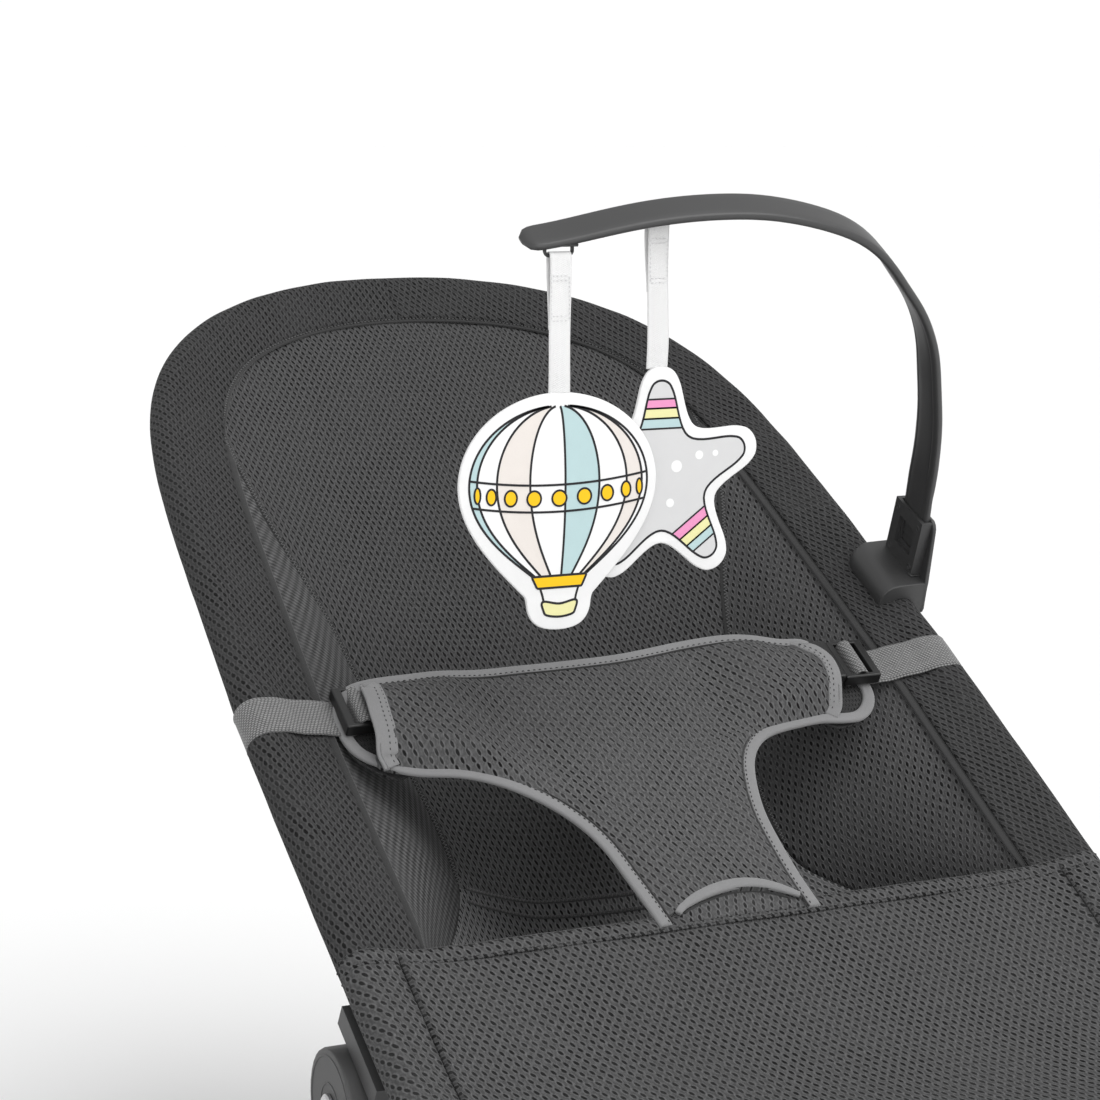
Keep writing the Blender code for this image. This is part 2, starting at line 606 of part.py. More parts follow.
TRAVEL = math.radians(10.0)
for side, tag in ((-1, "left"), (1, "right")):
    # seat half: disc, bridge under the tube and the key that is riveted to it
    disc = cylinder("seat_hinge_" + tag, DISC_R, *x_span(side, 0.1740, 0.1898), HINGE, PLASTIC, 32, bevel=0.0012)
    low, high = x_span(side, 0.1740, 0.1893)
    combine(disc, box("hinge_neck_" + tag, (low, HINGE_S - 0.026, -0.046), (high, HINGE_S + 0.026, -0.0120), SEAT), "UNION")
    low, high = x_span(side, 0.1760, 0.2060)
    combine(disc, box("hinge_bridge_" + tag, (low, HINGE_S - 0.025, -0.0232), (high, HINGE_S + 0.025, -0.0116), SEAT), "UNION")
    low, high = x_span(side, 0.1920, 0.2004)
    combine(disc, box("hinge_key_" + tag, (low, HINGE_S - 0.021, -0.0150), (high, HINGE_S + 0.021, -0.00835), SEAT), "UNION")
    combine(disc, cylinder("hinge_bore_" + tag, 0.0044, *x_span(side, 0.170, 0.195), HINGE, None, 24), "DIFFERENCE")
    slot = []
    down = math.atan2(-COS, SIN)
    reach = TRAVEL + 0.0054 / LOCK_R       # the bolt's swing and its own half width
    for i in range(13):
        a = down - reach + 2 * reach * i / 12
        slot.append(((LOCK_R + 0.0048) * math.cos(a), (LOCK_R + 0.0048) * math.sin(a)))
    for i in range(13):
        a = down + reach - 2 * reach * i / 12
        slot.append(((LOCK_R - 0.0048) * math.cos(a), (LOCK_R - 0.0048) * math.sin(a)))
    combine(disc, prism("hinge_slot_" + tag, slot, 0.170, 0.195,
                        lambda a, b, c, side=side: Vector((side * c, HY + a, HZ + b))), "DIFFERENCE")

    # base half: disc with a socket for the leg
    base = cylinder("base_hinge_" + tag, DISC_R, *x_span(side, 0.1903, 0.2125), HINGE, PLASTIC, 32, bevel=0.0016)
    along = Vector((0, -math.cos(LEG_ANGLE), -math.sin(LEG_ANGLE)))
    bm = bmesh.new()
    turn = along.to_track_quat("Z", "Y").to_matrix().to_4x4()
    c = HINGE.copy()
    c.x = side * LEG_X
    bmesh.ops.create_cone(bm, cap_ends=True, segments=20, radius1=0.0108, radius2=0.0108, depth=0.046,
                          matrix=Matrix.Translation(c + along * 0.035) @ turn)
    combine(base, mesh_object("leg_socket_" + tag, bm, None), "UNION")
    bm = bmesh.new()
    bmesh.ops.create_cone(bm, cap_ends=True, segments=20, radius1=TUBE_R + 0.0005, radius2=TUBE_R + 0.0005, depth=0.040,
                          matrix=Matrix.Translation(c + along * 0.0500) @ turn)
    combine(base, mesh_object("leg_bore_" + tag, bm, None), "DIFFERENCE")
    combine(base, cylinder("base_bore_" + tag, 0.0044, *x_span(side, 0.185, 0.216), HINGE, None, 24), "DIFFERENCE")
    combine(base, cylinder("bolt_bore_" + tag, 0.0042, *x_span(side, 0.185, 0.216), LOCK, None, 24), "DIFFERENCE")
    combine(base, cylinder("button_well_" + tag, 0.0082, *x_span(side, 0.2003, 0.216), LOCK, None, 28), "DIFFERENCE")

    # rivet, turned on the recline axis: profile runs down its outer side
    bm = bmesh.new()
    prof = [(0.0, 0.2150), (0.0066, 0.2150), (0.0074, 0.2142), (0.0074, 0.2128), (0.0040, 0.2128), (0.0040, 0.1737),
            (0.0074, 0.1737), (0.0074, 0.1722), (0.0066, 0.1712), (0.0, 0.1712)]
    vs = [bm.verts.new((r, 0, h)) for r, h in prof]
    for a, b in zip(vs, vs[1:]):
        bm.edges.new((a, b))
    me = bpy.data.meshes.new("pivot_rivet_" + tag)
    bm.to_mesh(me)
    bm.free()
    me.materials.append(own(BARE_STEEL, "pivot_rivet_" + tag))
    rivet = link(bpy.data.objects.new("pivot_rivet_" + tag, me))
    rivet.matrix_world = Matrix.Translation(Vector((0, HY, HZ))) @ Matrix.Rotation(side * math.pi / 2, 4, "Y")
    mod = rivet.modifiers.new("turn", "SCREW")
    mod.steps = mod.render_steps = 20
    mod.use_merge_vertices = True
    mod.merge_threshold = 0.00005
    mod.use_smooth_shade = True

    # lock button with its bolt, and the spring behind it
    cap = cylinder("release_button_" + tag, 0.0078, *x_span(side, 0.2095, 0.2160), LOCK, BLACK, 28, bevel=0.0010)
    combine(cap, cylinder("lock_bolt_" + tag, 0.0039, *x_span(side, 0.1800, 0.2110), LOCK, None, 20), "UNION")
    pts = []
    turns, per = 3, 10
    for i in range(turns * per + 1):
        a = 2 * math.pi * i / per
        pts.append((side * (0.2010 + 0.0078 * i / (turns * per)), LOCK.y + 0.0059 * math.cos(a), LOCK.z + 0.0059 * math.sin(a)))
    tube("release_spring_" + tag, pts, 0.00045, BARE_STEEL, 1)

# ------------------------------------------------------------------------ base
NOSE_Z = RAIL_Z + NOSE_R
run = (HZ - NOSE_Z - NOSE_R * math.cos(LEG_ANGLE)) / math.sin(LEG_ANGLE)
NOSE_Y = HY - run * math.cos(LEG_ANGLE) + NOSE_R * math.sin(LEG_ANGLE)
COUPLER = SHIFT_Y + COUPLER_Y
for side, tag in ((-1, "left"), (1, "right")):
    x = side * LEG_X
    pts = [(x, COUPLER - 0.0003, RAIL_Z)]
    pts += [(x, y, RAIL_Z) for y in (NOSE_Y + 0.045,)]
    for i in range(13):
        a = math.radians(-90 - (180 - math.degrees(LEG_ANGLE) + 0) * i / 12)
        pts.append((x, NOSE_Y + NOSE_R * math.cos(a), NOSE_Z + NOSE_R * math.sin(a)))
    top = Vector((x, HY, HZ)) + Vector((0, -math.cos(LEG_ANGLE), -math.sin(LEG_ANGLE))) * 0.0305
    pts.append((x, top.y, top.z))
    tube("leg_spring_" + tag, pts, TUBE_R, STEEL)

R = REAR_CORNER
yb = SHIFT_Y + REAR_Y
rail = [(LEG_X, COUPLER + 0.0003), (LEG_X, yb - R)]
rail += arc(LEG_X - R, yb - R, R, 12, 90, 8)
left = [(-a, b) for a, b in reversed(rail)]
tube("floor_rail", [(a, b, RAIL_Z) for a, b in rail + left], TUBE_R, STEEL)

for side, tag in ((-1, "left"), (1, "right")):
    x = side * LEG_X
    # coupler: a moulded sleeve over the joint of leg and floor rail
    bm = bmesh.new()
    prof = [(0.0104, 0.026), (0.0112, 0.0235), (0.0112, -0.0235), (0.0104, -0.026), (0.0084, -0.026), (0.0084, 0.026)]
    vs = [bm.verts.new((r, 0, h)) for r, h in prof]
    for i in range(len(vs)):
        bm.edges.new((vs[i], vs[(i + 1) % len(vs)]))
    me = bpy.data.meshes.new("rail_coupler_" + tag)
    bm.to_mesh(me)
    bm.free()
    me.materials.append(own(PLASTIC, "rail_coupler_" + tag))
    ring = link(bpy.data.objects.new("rail_coupler_" + tag, me))
    ring.matrix_world = Matrix.Translation(Vector((x, COUPLER, RAIL_Z + 0.0))) @ Matrix.Rotation(math.pi / 2, 4, "X")
    mod = ring.modifiers.new("turn", "SCREW")
    mod.steps = mod.render_steps = 20
    mod.use_merge_vertices = True
    mod.merge_threshold = 0.00005

# rubber feet, saddles under the floor tubes with a flat tread
def foot(name, x, y, length, angle):
    turn = Matrix.Translation(Vector((x, y, 0))) @ Matrix.Rotation(angle, 4, "Z")
    outline = arc(0, RAIL_Z, 0.0105, 205, 335, 7)
    inner = arc(0, RAIL_Z, TUBE_R + 0.0004, 335, 205, 7)
    outer = [(-0.0088, 0.0009), (-0.0078, 0.0), (0.0078, 0.0), (0.0088, 0.0009)]
    shape = [outline[0]] + [(-0.0100, 0.0050)] + outer + [(0.0100, 0.0050)] + [outline[-1]] + inner
    prism(name, shape, -length / 2, length / 2, lambda a, b, c: turn @ Vector((a, c, b)), RUBBER)


for side, tag in ((-1, "left"), (1, "right")):
    foot("front_foot_" + tag, side * LEG_X, NOSE_Y + 0.022, 0.040, 0.0)
    foot("rear_foot_" + tag, side * 0.075, yb, 0.050, math.pi / 2)

# -------------------------------------------------------------- toy bar socket
# frame of the socket: across, along its width, and up the bar
UP = Vector((0, math.sin(SOCKET_LEAN), math.cos(SOCKET_LEAN)))
ACROSS = Vector((0, math.cos(SOCKET_LEAN), -math.sin(SOCKET_LEAN)))


def sock(x, a, b):
    """Point x across the seat, a along the socket's width, b up the socket."""
    s = SOCKET_S + a * ACROSS.y + b * UP.y
    n = SOCKET_N + a * ACROSS.z + b * UP.z
    return at(x, s, n)


SADDLE = [(0.1783, 0.0064), (0.1776, 0.0095), (0.1790, 0.0137), (0.1822, 0.0172), (0.1868, 0.0190), (0.1940, 0.0197),
          (0.2064, 0.0203), (0.2103, 0.0004), (0.2098, -0.0016), (0.2062, -0.0028), (0.2049, -0.0020)]
SADDLE += arc(0.1927, 0.0, 0.0118, 0, 112, 7) + [(0.1830, 0.0098)]
clip = prism("bar_clip", SADDLE, 0.0385, 0.0800, lambda a, b, c: at(a, c, b), PLASTIC)


def hexa(name, corners, mat=None, bevel=0.0):
    """corners: four (x, b) points of a face at -half and +half width."""
    bm = bmesh.new()
    rings = [[bm.verts.new(p) for p in ring] for ring in corners]
    for i in range(4):
        bm.faces.new((rings[0][i], rings[0][(i + 1) % 4], rings[1][(i + 1) % 4], rings[1][i]))
    bm.faces.new(rings[0])
    bm.faces.new(rings[1])
    if bevel:
        bmesh.ops.recalc_face_normals(bm, faces=bm.faces[:])
        bmesh.ops.bevel(bm, geom=bm.edges[:], offset=bevel, segments=2, profile=0.5, affect="EDGES")
    return mesh_object(name, bm, mat)


block = [(0.1903, -0.0100), (0.1903, 0.0325), (0.1995, 0.0325), (0.2040, -0.0100)]
combine(clip, hexa("socket_block", [[sock(x, -0.0150, b) for x, b in block], [sock(x, 0.0150, b) for x, b in block]], None, 0.0010), "UNION")
rib = [(0.1988, -0.0120), (0.1982, 0.0385), (0.2003, 0.0385), (0.2066, -0.0100)]
combine(clip, hexa("socket_rib", [[sock(x, -0.0162, b) for x, b in rib], [sock(x, 0.0162, b) for x, b in rib]], None, 0.0008), "UNION")


def bar_x(b):
    """Centre of the bar's foot across the seat at height b in the socket."""
    return 0.1957 + BAR_LEAN_X * (b - 0.0340)


T_IN, T_OUT = -0.0028, 0.0028
hole = [(bar_x(0.014) + T_IN, 0.014), (bar_x(0.045) + T_IN, 0.045), (bar_x(0.045) + T_OUT - 0.0002, 0.045), (bar_x(0.014) + T_OUT - 0.0002, 0.014)]
combine(clip, hexa("socket_hole", [[sock(x, -0.0131, b) for x, b in hole], [sock(x, 0.0131, b) for x, b in hole]]), "DIFFERENCE")
win = [(0.1850, 0.0090), (0.1850, 0.0245), (0.1917, 0.0245), (0.1917, 0.0090)]
combine(clip, hexa("window_recess", [[sock(x, -0.0085, b) for x, b in win], [sock(x, 0.0085, b) for x, b in win]]), "DIFFERENCE")
win = [(0.1850, 0.0110), (0.1850, 0.0225), (0.1960, 0.0225), (0.1960, 0.0110)]
combine(clip, hexa("window_hole", [[sock(x, -0.0060, b) for x, b in win], [sock(x, 0.0060, b) for x, b in win]]), "DIFFERENCE")

# ------------------------------------------------------------------- toy bar
# centre line (across, out of the seat) and how wide and thick it is there
BAR = ((0.0185, 0.0), (0.0340, 0.0))
BAR_LINE = [(0.1935, 0.0866), (0.1915, 0.0970), (0.1890, 0.1075), (0.1845, 0.1225), (0.1768, 0.1430), (0.1660, 0.1700),
            (0.1510, 0.1935), (0.1335, 0.2120), (0.1190, 0.2270), (0.1000, 0.2400), (0.0800, 0.2475), (0.0600, 0.2525),
            (0.0400, 0.2555), (0.0180, 0.2560), (-0.0050, 0.2545), (-0.0250, 0.2515), (-0.0450, 0.2470), (-0.0650, 0.2420),
            (-0.0790, 0.2395)]


def bar_station(k):
    """Width and thickness of the bar, k 0 at the socket and 1 at the tip."""
    return 0.0252 + (0.0180 - 0.0252) * k, 0.0050 + (0.0038 - 0.0050) * k


def bar_rings():
    rings = []
    foot = [(bar_x(b), b) for b in (0.0145, 0.0345, 0.0460)]
    line = []
    for x, b in foot:
        p = sock(x, 0, b)
        q = SEAT.inverted() @ p
        line.append((q.x, q.y, q.z))
    for x, n in BAR_LINE:
        line.append((x, 0.0620 - 0.0012 * max(0.0, 1 - (n - 0.0866) / 0.02), n))
    line = [Vector(p) for p in line]
    length = [0.0]
    for a, b in zip(line, line[1:]):
        length.append(length[-1] + (b - a).length)
    wide = ACROSS.copy()
    for i, p in enumerate(line):
        t = (line[min(i + 1, len(line) - 1)] - line[max(i - 1, 0)]).normalized()
        k = length[i] / length[-1]
        w, h = bar_station(k)
        lean = max(0.0, 1 - length[i] / 0.06)
        across = Vector((0, 1, 0)).lerp(wide, lean)
        across = (across - t * across.dot(t)).normalized()
        up = t.cross(across).normalized()
        if i == len(line) - 1:
            w *= 0.86
        if i < 3:
            w, h = 0.0246, 0.0042
        if i == 0:
            w = 0.0226
        loop = ((-0.5, -0.22), (-0.5, 0.22), (-0.42, 0.5), (0.0, 0.58), (0.42, 0.5), (0.5, 0.22), (0.5, -0.22), (0.42, -0.5), (-0.42, -0.5))
        rings.append([SEAT @ (p + across * (a * w) + up * (b * h)) for a, b in loop])
    # rounded tip
    t = (line[-1] - line[-2]).normalized()
    tip = [SEAT.inverted() @ q for q in rings[-1]]
    c = sum(tip, Vector()) / len(tip)
    for reach, shrink in ((0.0035, 0.80), (0.0055, 0.45)):
        rings.append([SEAT @ (c + (q - c) * shrink + t * reach) for q in tip])
    return rings


bar = loft("toy_bar", bar_rings(), PLASTIC)


def bar_under(x):
    """Distance out of the seat of the bar's underside at x, near the tip end."""
    line = sorted(BAR_LINE)
    for a, b in zip(line, line[1:]):
        if a[0] <= x <= b[0]:
            return a[1] + (b[1] - a[1]) * (x - a[0]) / (b[0] - a[0]) - 0.0021
    return line[0][1]


O = Vector((0, SHIFT_Y, STRAP_HEIGHT))


def lug_centre(x, y):
    """Centre of the ribbon lug's cross bar under the toy bar at a world y."""
    n = bar_under(x)
    under = at(x, 0.062, n)
    dy = O.y + y - under.y
    return Vector((x, O.y + y, under.z + dy * math.tan(SEAT_TILT) - 0.0046))


LUGS = {}
for name, x, y in (("balloon", BALLOON_X, BALLOON_Y), ("star", STAR_X, STAR_Y)):
    c = lug_centre(x, y)
    LUGS[name] = c
    half = RIBBON_W / 2 + 0.0022
    combine(bar, box("lug_bar_" + name, (c.x - half, c.y - 0.0012, c.z - 0.0009), (c.x + half, c.y + 0.0012, c.z + 0.0009), Matrix.Identity(4)), "UNION")
    for sx in (-1, 1):
        px = c.x + sx * (half - 0.0008)
        combine(bar, box("lug_post_%s_%d" % (name, sx + 1), (px - 0.0008, c.y - 0.0013, c.z - 0.0010), (px + 0.0008, c.y + 0.0013, c.z + 0.0068), Matrix.Identity(4)), "UNION")

# ------------------------------------------------------------ ribbons and toys
def side_frame(origin):
    """Outline axes along world Y and Z, the run along X."""
    m = Matrix(((0, 0, 1, origin.x), (1, 0, 0, origin.y), (0, 1, 0, origin.z), (0, 0, 0, 1)))
    return m


def face_frame(origin):
    """Outline axes along world X and Z, the run along Y."""
    return Matrix(((1, 0, 0, origin.x), (0, 0, -1, origin.y), (0, 1, 0, origin.z), (0, 0, 0, 1)))


RIBBON_T = 0.0007


def hang(name, drop):
    c = LUGS[name]
    path = [(-0.0006, -drop), (-0.0016, -drop + 0.012), (-0.0020, -0.010), (-0.0020, 0.0)]
    path += [(0.0020 * math.cos(math.radians(a)), 0.0017 * math.sin(math.radians(a))) for a in (135, 90, 45)]
    path += [(0.0020, 0.0), (0.0019, -0.010), (0.0009, -0.030), (0.0004, -0.0345)]
    strip = ribbon(path, RIBBON_T)
    plate("ribbon_" + name, strip, RIBBON_W, side_frame(c), RIBBON)


BALLOON_TOP, STAR_TOP = 0.1640, 0.1738       # heights above the strap plane's centre


def balloon_outline():
    """Round bag, tapering neck and basket, as the cut edge of the printed shape."""
    wide, tall = 0.0515, 0.0430
    half = []
    for i in range(1, 10):
        a = math.radians(90 - 10 * i)
        half.append((wide * math.cos(a), -tall + tall * math.sin(a)))
    for i in range(1, 7):
        q = bezier(((wide, -tall), (wide, -0.0660), (0.0280, -0.0860), (0.0172, -0.0975)), i / 6)
        half.append((q[0], q[1]))
    half += [(0.0162, -0.1040), (0.0138, -0.1090), (0.0090, -0.1125), (0.0030, -0.1137)]
    return half + [(-a, b) for a, b in reversed(half)] + [(0.0, 0.0)]


def star_outline():
    """Soft five pointed star with round tips."""
    out = []
    for k in range(5):
        a = math.radians(90 - 72 * k)
        for j, rr in ((-11, 0.0490), (-4, 0.0543), (4, 0.0543), (11, 0.0490)):
            b = a - math.radians(j)
            out.append((rr * math.cos(b), rr * math.sin(b)))
        b = a - math.radians(36)
        out.append((0.0310 * math.cos(b), 0.0310 * math.sin(b)))
    return [(x + 0.0026, y - 0.0546) for x, y in out]


for name, top, outline in (("balloon", BALLOON_TOP, balloon_outline()), ("star", STAR_TOP, star_outline())):
    c = LUGS[name]
    drop = c.z - (O.z + top) - 0.0010
    hang(name, drop)
    plate("toy_" + name, outline, 0.0024, face_frame(Vector((c.x, c.y, O.z + top))), TOY, bevel=0.0005)

# ------------------------------------------------------------- what moves together
bpy.context.view_layer.update()


def axis(name, place, pieces, parent=None):
    """An empty on a joint's axis that carries the pieces turning or sliding there."""
    e = bpy.data.objects.new(name, None)
    e.empty_display_size = 0.02
    parts.objects.link(e)
    e.matrix_world = Matrix.Translation(place)
    held = [bpy.data.objects[p] for p in pieces]
    for p in list(held):
        held += joined.get(p.name, [])
    bpy.context.view_layer.update()
    for p in held:
        here = p.matrix_world.copy()
        p.parent = e
        p.matrix_parent_inverse = e.matrix_world.inverted()
        p.matrix_world = here
    if parent:
        here = e.matrix_world.copy()
        e.parent = parent
        e.matrix_parent_inverse = parent.matrix_world.inverted()
        e.matrix_world = here
    bpy.context.view_layer.update()
    return e


bounce = axis("bounce_axis", Vector((0, NOSE_Y, NOSE_Z)), ["base_hinge_left", "base_hinge_right"])
seat = axis("recline_axis", HINGE, [
    "seat_tube_head", "seat_tube_foot", "border_sleeve", "foot_sleeve", "front_panel", "back_panel", "seat_panel",
    "side_gusset_left", "side_gusset_right", "harness_top", "harness_lining", "buckle_socket_left", "buckle_socket_right",
    "waist_strap_left", "waist_strap_right", "seat_hinge_left", "seat_hinge_right", "pivot_rivet_left", "pivot_rivet_right",
    "bar_clip"], bounce)
for side, tag in ((-1, "left"), (1, "right")):
    axis("release_axis_" + tag, LOCK + Vector((side * 0.2095, 0, 0)), ["release_button_" + tag, "release_spring_" + tag], bounce)
    pull = axis("plug_axis_" + tag, at(side * 0.1312, STRAP_S, 0.0026), ["buckle_plug_" + tag], seat)
    for up, word in ((1, "upper"), (-1, "lower")):
        axis("prong_axis_%s_%s" % (word, tag), at(side * 0.1309, STRAP_S + up * 0.0090, 0.0032), ["buckle_prong_%s_%s" % (word, tag)], pull)
bar_axis = axis("bar_axis", sock(bar_x(0.0145), 0, 0.0145), ["toy_bar"], seat)
for name in ("balloon", "star"):
    axis(name + "_axis", LUGS[name], ["ribbon_" + name, "toy_" + name], bar_axis)
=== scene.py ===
# Looks of the baby bouncer: woven fabrics, bindings, seams and stitches, buckles,
# webbing, toy bar, toys, tubes and hinges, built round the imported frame.
import bpy
import bmesh
import json
import math
import numpy as np
from mathutils import Matrix, Vector, noise

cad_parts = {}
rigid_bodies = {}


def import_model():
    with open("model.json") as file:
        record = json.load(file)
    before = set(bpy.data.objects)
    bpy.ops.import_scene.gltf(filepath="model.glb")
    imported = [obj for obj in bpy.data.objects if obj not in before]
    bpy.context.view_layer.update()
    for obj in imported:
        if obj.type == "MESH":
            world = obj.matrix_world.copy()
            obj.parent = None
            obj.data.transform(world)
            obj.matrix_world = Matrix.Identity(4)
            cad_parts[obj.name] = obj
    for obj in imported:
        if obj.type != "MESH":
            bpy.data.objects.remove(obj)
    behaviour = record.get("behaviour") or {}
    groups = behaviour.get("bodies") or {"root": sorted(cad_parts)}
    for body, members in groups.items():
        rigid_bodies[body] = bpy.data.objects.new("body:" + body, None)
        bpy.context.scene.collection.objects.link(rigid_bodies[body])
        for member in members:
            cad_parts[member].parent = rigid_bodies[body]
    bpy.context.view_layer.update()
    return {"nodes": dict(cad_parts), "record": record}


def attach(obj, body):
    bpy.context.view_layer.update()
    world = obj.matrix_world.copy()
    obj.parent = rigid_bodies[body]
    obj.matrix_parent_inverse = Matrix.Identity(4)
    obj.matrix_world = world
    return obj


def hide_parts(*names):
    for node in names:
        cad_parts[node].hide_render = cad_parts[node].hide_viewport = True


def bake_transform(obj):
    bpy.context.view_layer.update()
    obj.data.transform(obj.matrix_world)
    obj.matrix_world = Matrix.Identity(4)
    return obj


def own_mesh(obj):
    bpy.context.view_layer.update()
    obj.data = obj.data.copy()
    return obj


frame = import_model()
nodes = frame["nodes"]
scene = bpy.context.scene
scene.view_settings.view_transform = "Standard"
scene.view_settings.look = "None"

# ---------------------------------------------------------------- seat's shape
SEAT_TILT = math.radians(30.71)
STRAP_HEIGHT, SHIFT_Y = 0.345, 0.02824
BEND_START, BEND_RADIUS, FOOT_TILT = -0.230, 0.200, math.radians(8.0)
HEM = -0.1665
SIN, COS = math.sin(SEAT_TILT), math.cos(SEAT_TILT)
TUBE_R, ROLL_R, BAND = 0.008, 0.0105, 0.041
SLEEVE_R = 0.0090
STRAP_S, STRAP_W, BUCKLE_W, BUCKLE_LIFT = -0.0055, 0.0236, 0.0290, 0.0044
BUCKLE_X, LINING_X, HARNESS_X = -0.0035, -0.0090, -0.0098


def at(x, s, n):
    """World points x across the seat, s along its tube plane and n out of it (arrays)."""
    x, s, n = np.broadcast_arrays(np.asarray(x, float), np.asarray(s, float), np.asarray(n, float))
    d = np.maximum(BEND_START - s, 0.0)
    turn = np.minimum(d / BEND_RADIUS, SEAT_TILT - FOOT_TILT)
    slope = SEAT_TILT - turn
    rest = d - turn * BEND_RADIUS
    y = BEND_START * COS - BEND_RADIUS * (SIN - np.sin(slope)) - rest * np.cos(slope)
    z = BEND_START * SIN - BEND_RADIUS * (np.cos(slope) - COS) - rest * np.sin(slope)
    up = s >= BEND_START
    y, z = np.where(up, s * COS, y), np.where(up, s * SIN, z)
    return np.stack([x, SHIFT_Y + y - n * np.sin(slope), STRAP_HEIGHT + z + n * np.cos(slope)], -1)


def point(x, s, n):
    return Vector(at(x, s, n))


SEAT = Matrix(((1, 0, 0, 0), (0, COS, -SIN, SHIFT_Y), (0, SIN, COS, STRAP_HEIGHT), (0, 0, 0, 1)))
E_N = np.array((0.0, -SIN, COS))
E_S = np.array((0.0, COS, SIN))


def half_width(s):
    return np.minimum(0.2057 - 0.0462 * np.asarray(s, float), 0.2068)


def resample(line, step):
    """The polyline with points step apart."""
    line = np.asarray(line, float)
    seg = np.linalg.norm(np.diff(line, axis=0), axis=1)
    run = np.concatenate([[0], np.cumsum(seg)])
    count = max(int(round(run[-1] / step)), 2)
    t = np.linspace(0, run[-1], count + 1)
    return np.stack([np.interp(t, run, line[:, i]) for i in range(line.shape[1])], 1)


def soften(line, passes=4):
    """Takes small kinks out of a polyline, its ends kept."""
    line = np.array(line, float)
    for _ in range(passes):
        line[1:-1] = 0.5 * line[1:-1] + 0.25 * (line[:-2] + line[2:])
    return line


def smooth_through(points, count):
    """A smooth curve through the points (Catmull-Rom), sampled count times."""
    p = np.asarray(points, float)
    run = np.concatenate([[0], np.cumsum(np.linalg.norm(np.diff(p, axis=0), axis=1) ** 0.5)])
    p = np.concatenate([[2 * p[0] - p[1]], p, [2 * p[-1] - p[-2]]])
    k = np.concatenate([[-run[1]], run, [2 * run[-1] - run[-2]]])
    out = []
    for t in np.linspace(run[0], run[-1], count):
        i = min(max(int(np.searchsorted(k, t, side="right")) - 1, 1), len(k) - 3)
        p0, p1, p2, p3 = p[i - 1], p[i], p[i + 1], p[i + 2]
        k0, k1, k2, k3 = k[i - 1], k[i], k[i + 1], k[i + 2]
        a1 = p0 * (k1 - t) / (k1 - k0) + p1 * (t - k0) / (k1 - k0)
        a2 = p1 * (k2 - t) / (k2 - k1) + p2 * (t - k1) / (k2 - k1)
        a3 = p2 * (k3 - t) / (k3 - k2) + p3 * (t - k2) / (k3 - k2)
        b1 = a1 * (k2 - t) / (k2 - k0) + a2 * (t - k0) / (k2 - k0)
        b2 = a2 * (k3 - t) / (k3 - k1) + a3 * (t - k1) / (k3 - k1)
        out.append(b1 * (k2 - t) / (k2 - k1) + b2 * (t - k1) / (k2 - k1))
    return np.array(out)


def normals2(line):
    d = np.gradient(line, axis=0)
    d /= np.maximum(np.linalg.norm(d, axis=1, keepdims=True), 1e-12)
    return np.stack([d[:, 1], -d[:, 0]], 1)


def offset2(line, d):
    """The line moved d to its right hand side."""
    return line + d * normals2(line)


def head_edge(t):
    s = 0.0626 + 0.3138 * np.sin(t) ** (2 / 4.5315)
    return half_width(s) * np.cos(t) ** (2 / 2.1167), s


def foot_edge(t):
    s = -0.300 - 0.120 * np.sin(t) ** (2 / 2.4)
    return half_width(s) * np.cos(t) ** (2 / 2.3), s


def mirrored(half):
    return np.concatenate([half, (half[:-1] * (-1, 1))[::-1]])


t_fine = (np.linspace(0, 1, 1500) ** 3.0) * math.pi / 2
hx, hs = head_edge(np.minimum(t_fine, math.pi / 2 - 1e-9))
hx[-1] = 0.0
low_s = np.linspace(HEM, 0.0620, 200)
head_outline = mirrored(np.concatenate([np.stack([half_width(low_s), low_s], 1), np.stack([hx, hs], 1)]))
head_outline = soften(resample(head_outline, 0.0030), 12)
head_line = offset2(head_outline, -ROLL_R)
t_fine = np.linspace(0, 1, 800) ** 2 * math.pi / 2
fx, fs = foot_edge(np.minimum(t_fine, math.pi / 2 - 1e-9))
fx[-1] = 0.0
low_s = np.linspace(HEM - 0.0006, -0.2995, 120)
foot_outline = mirrored(np.concatenate([np.stack([half_width(low_s), low_s], 1), np.stack([fx, fs], 1)])) * (-1, 1)
foot_outline = soften(resample(foot_outline, 0.0035), 10)
foot_line = offset2(foot_outline, -ROLL_R)

# --------------------------------------------------------------- material kit


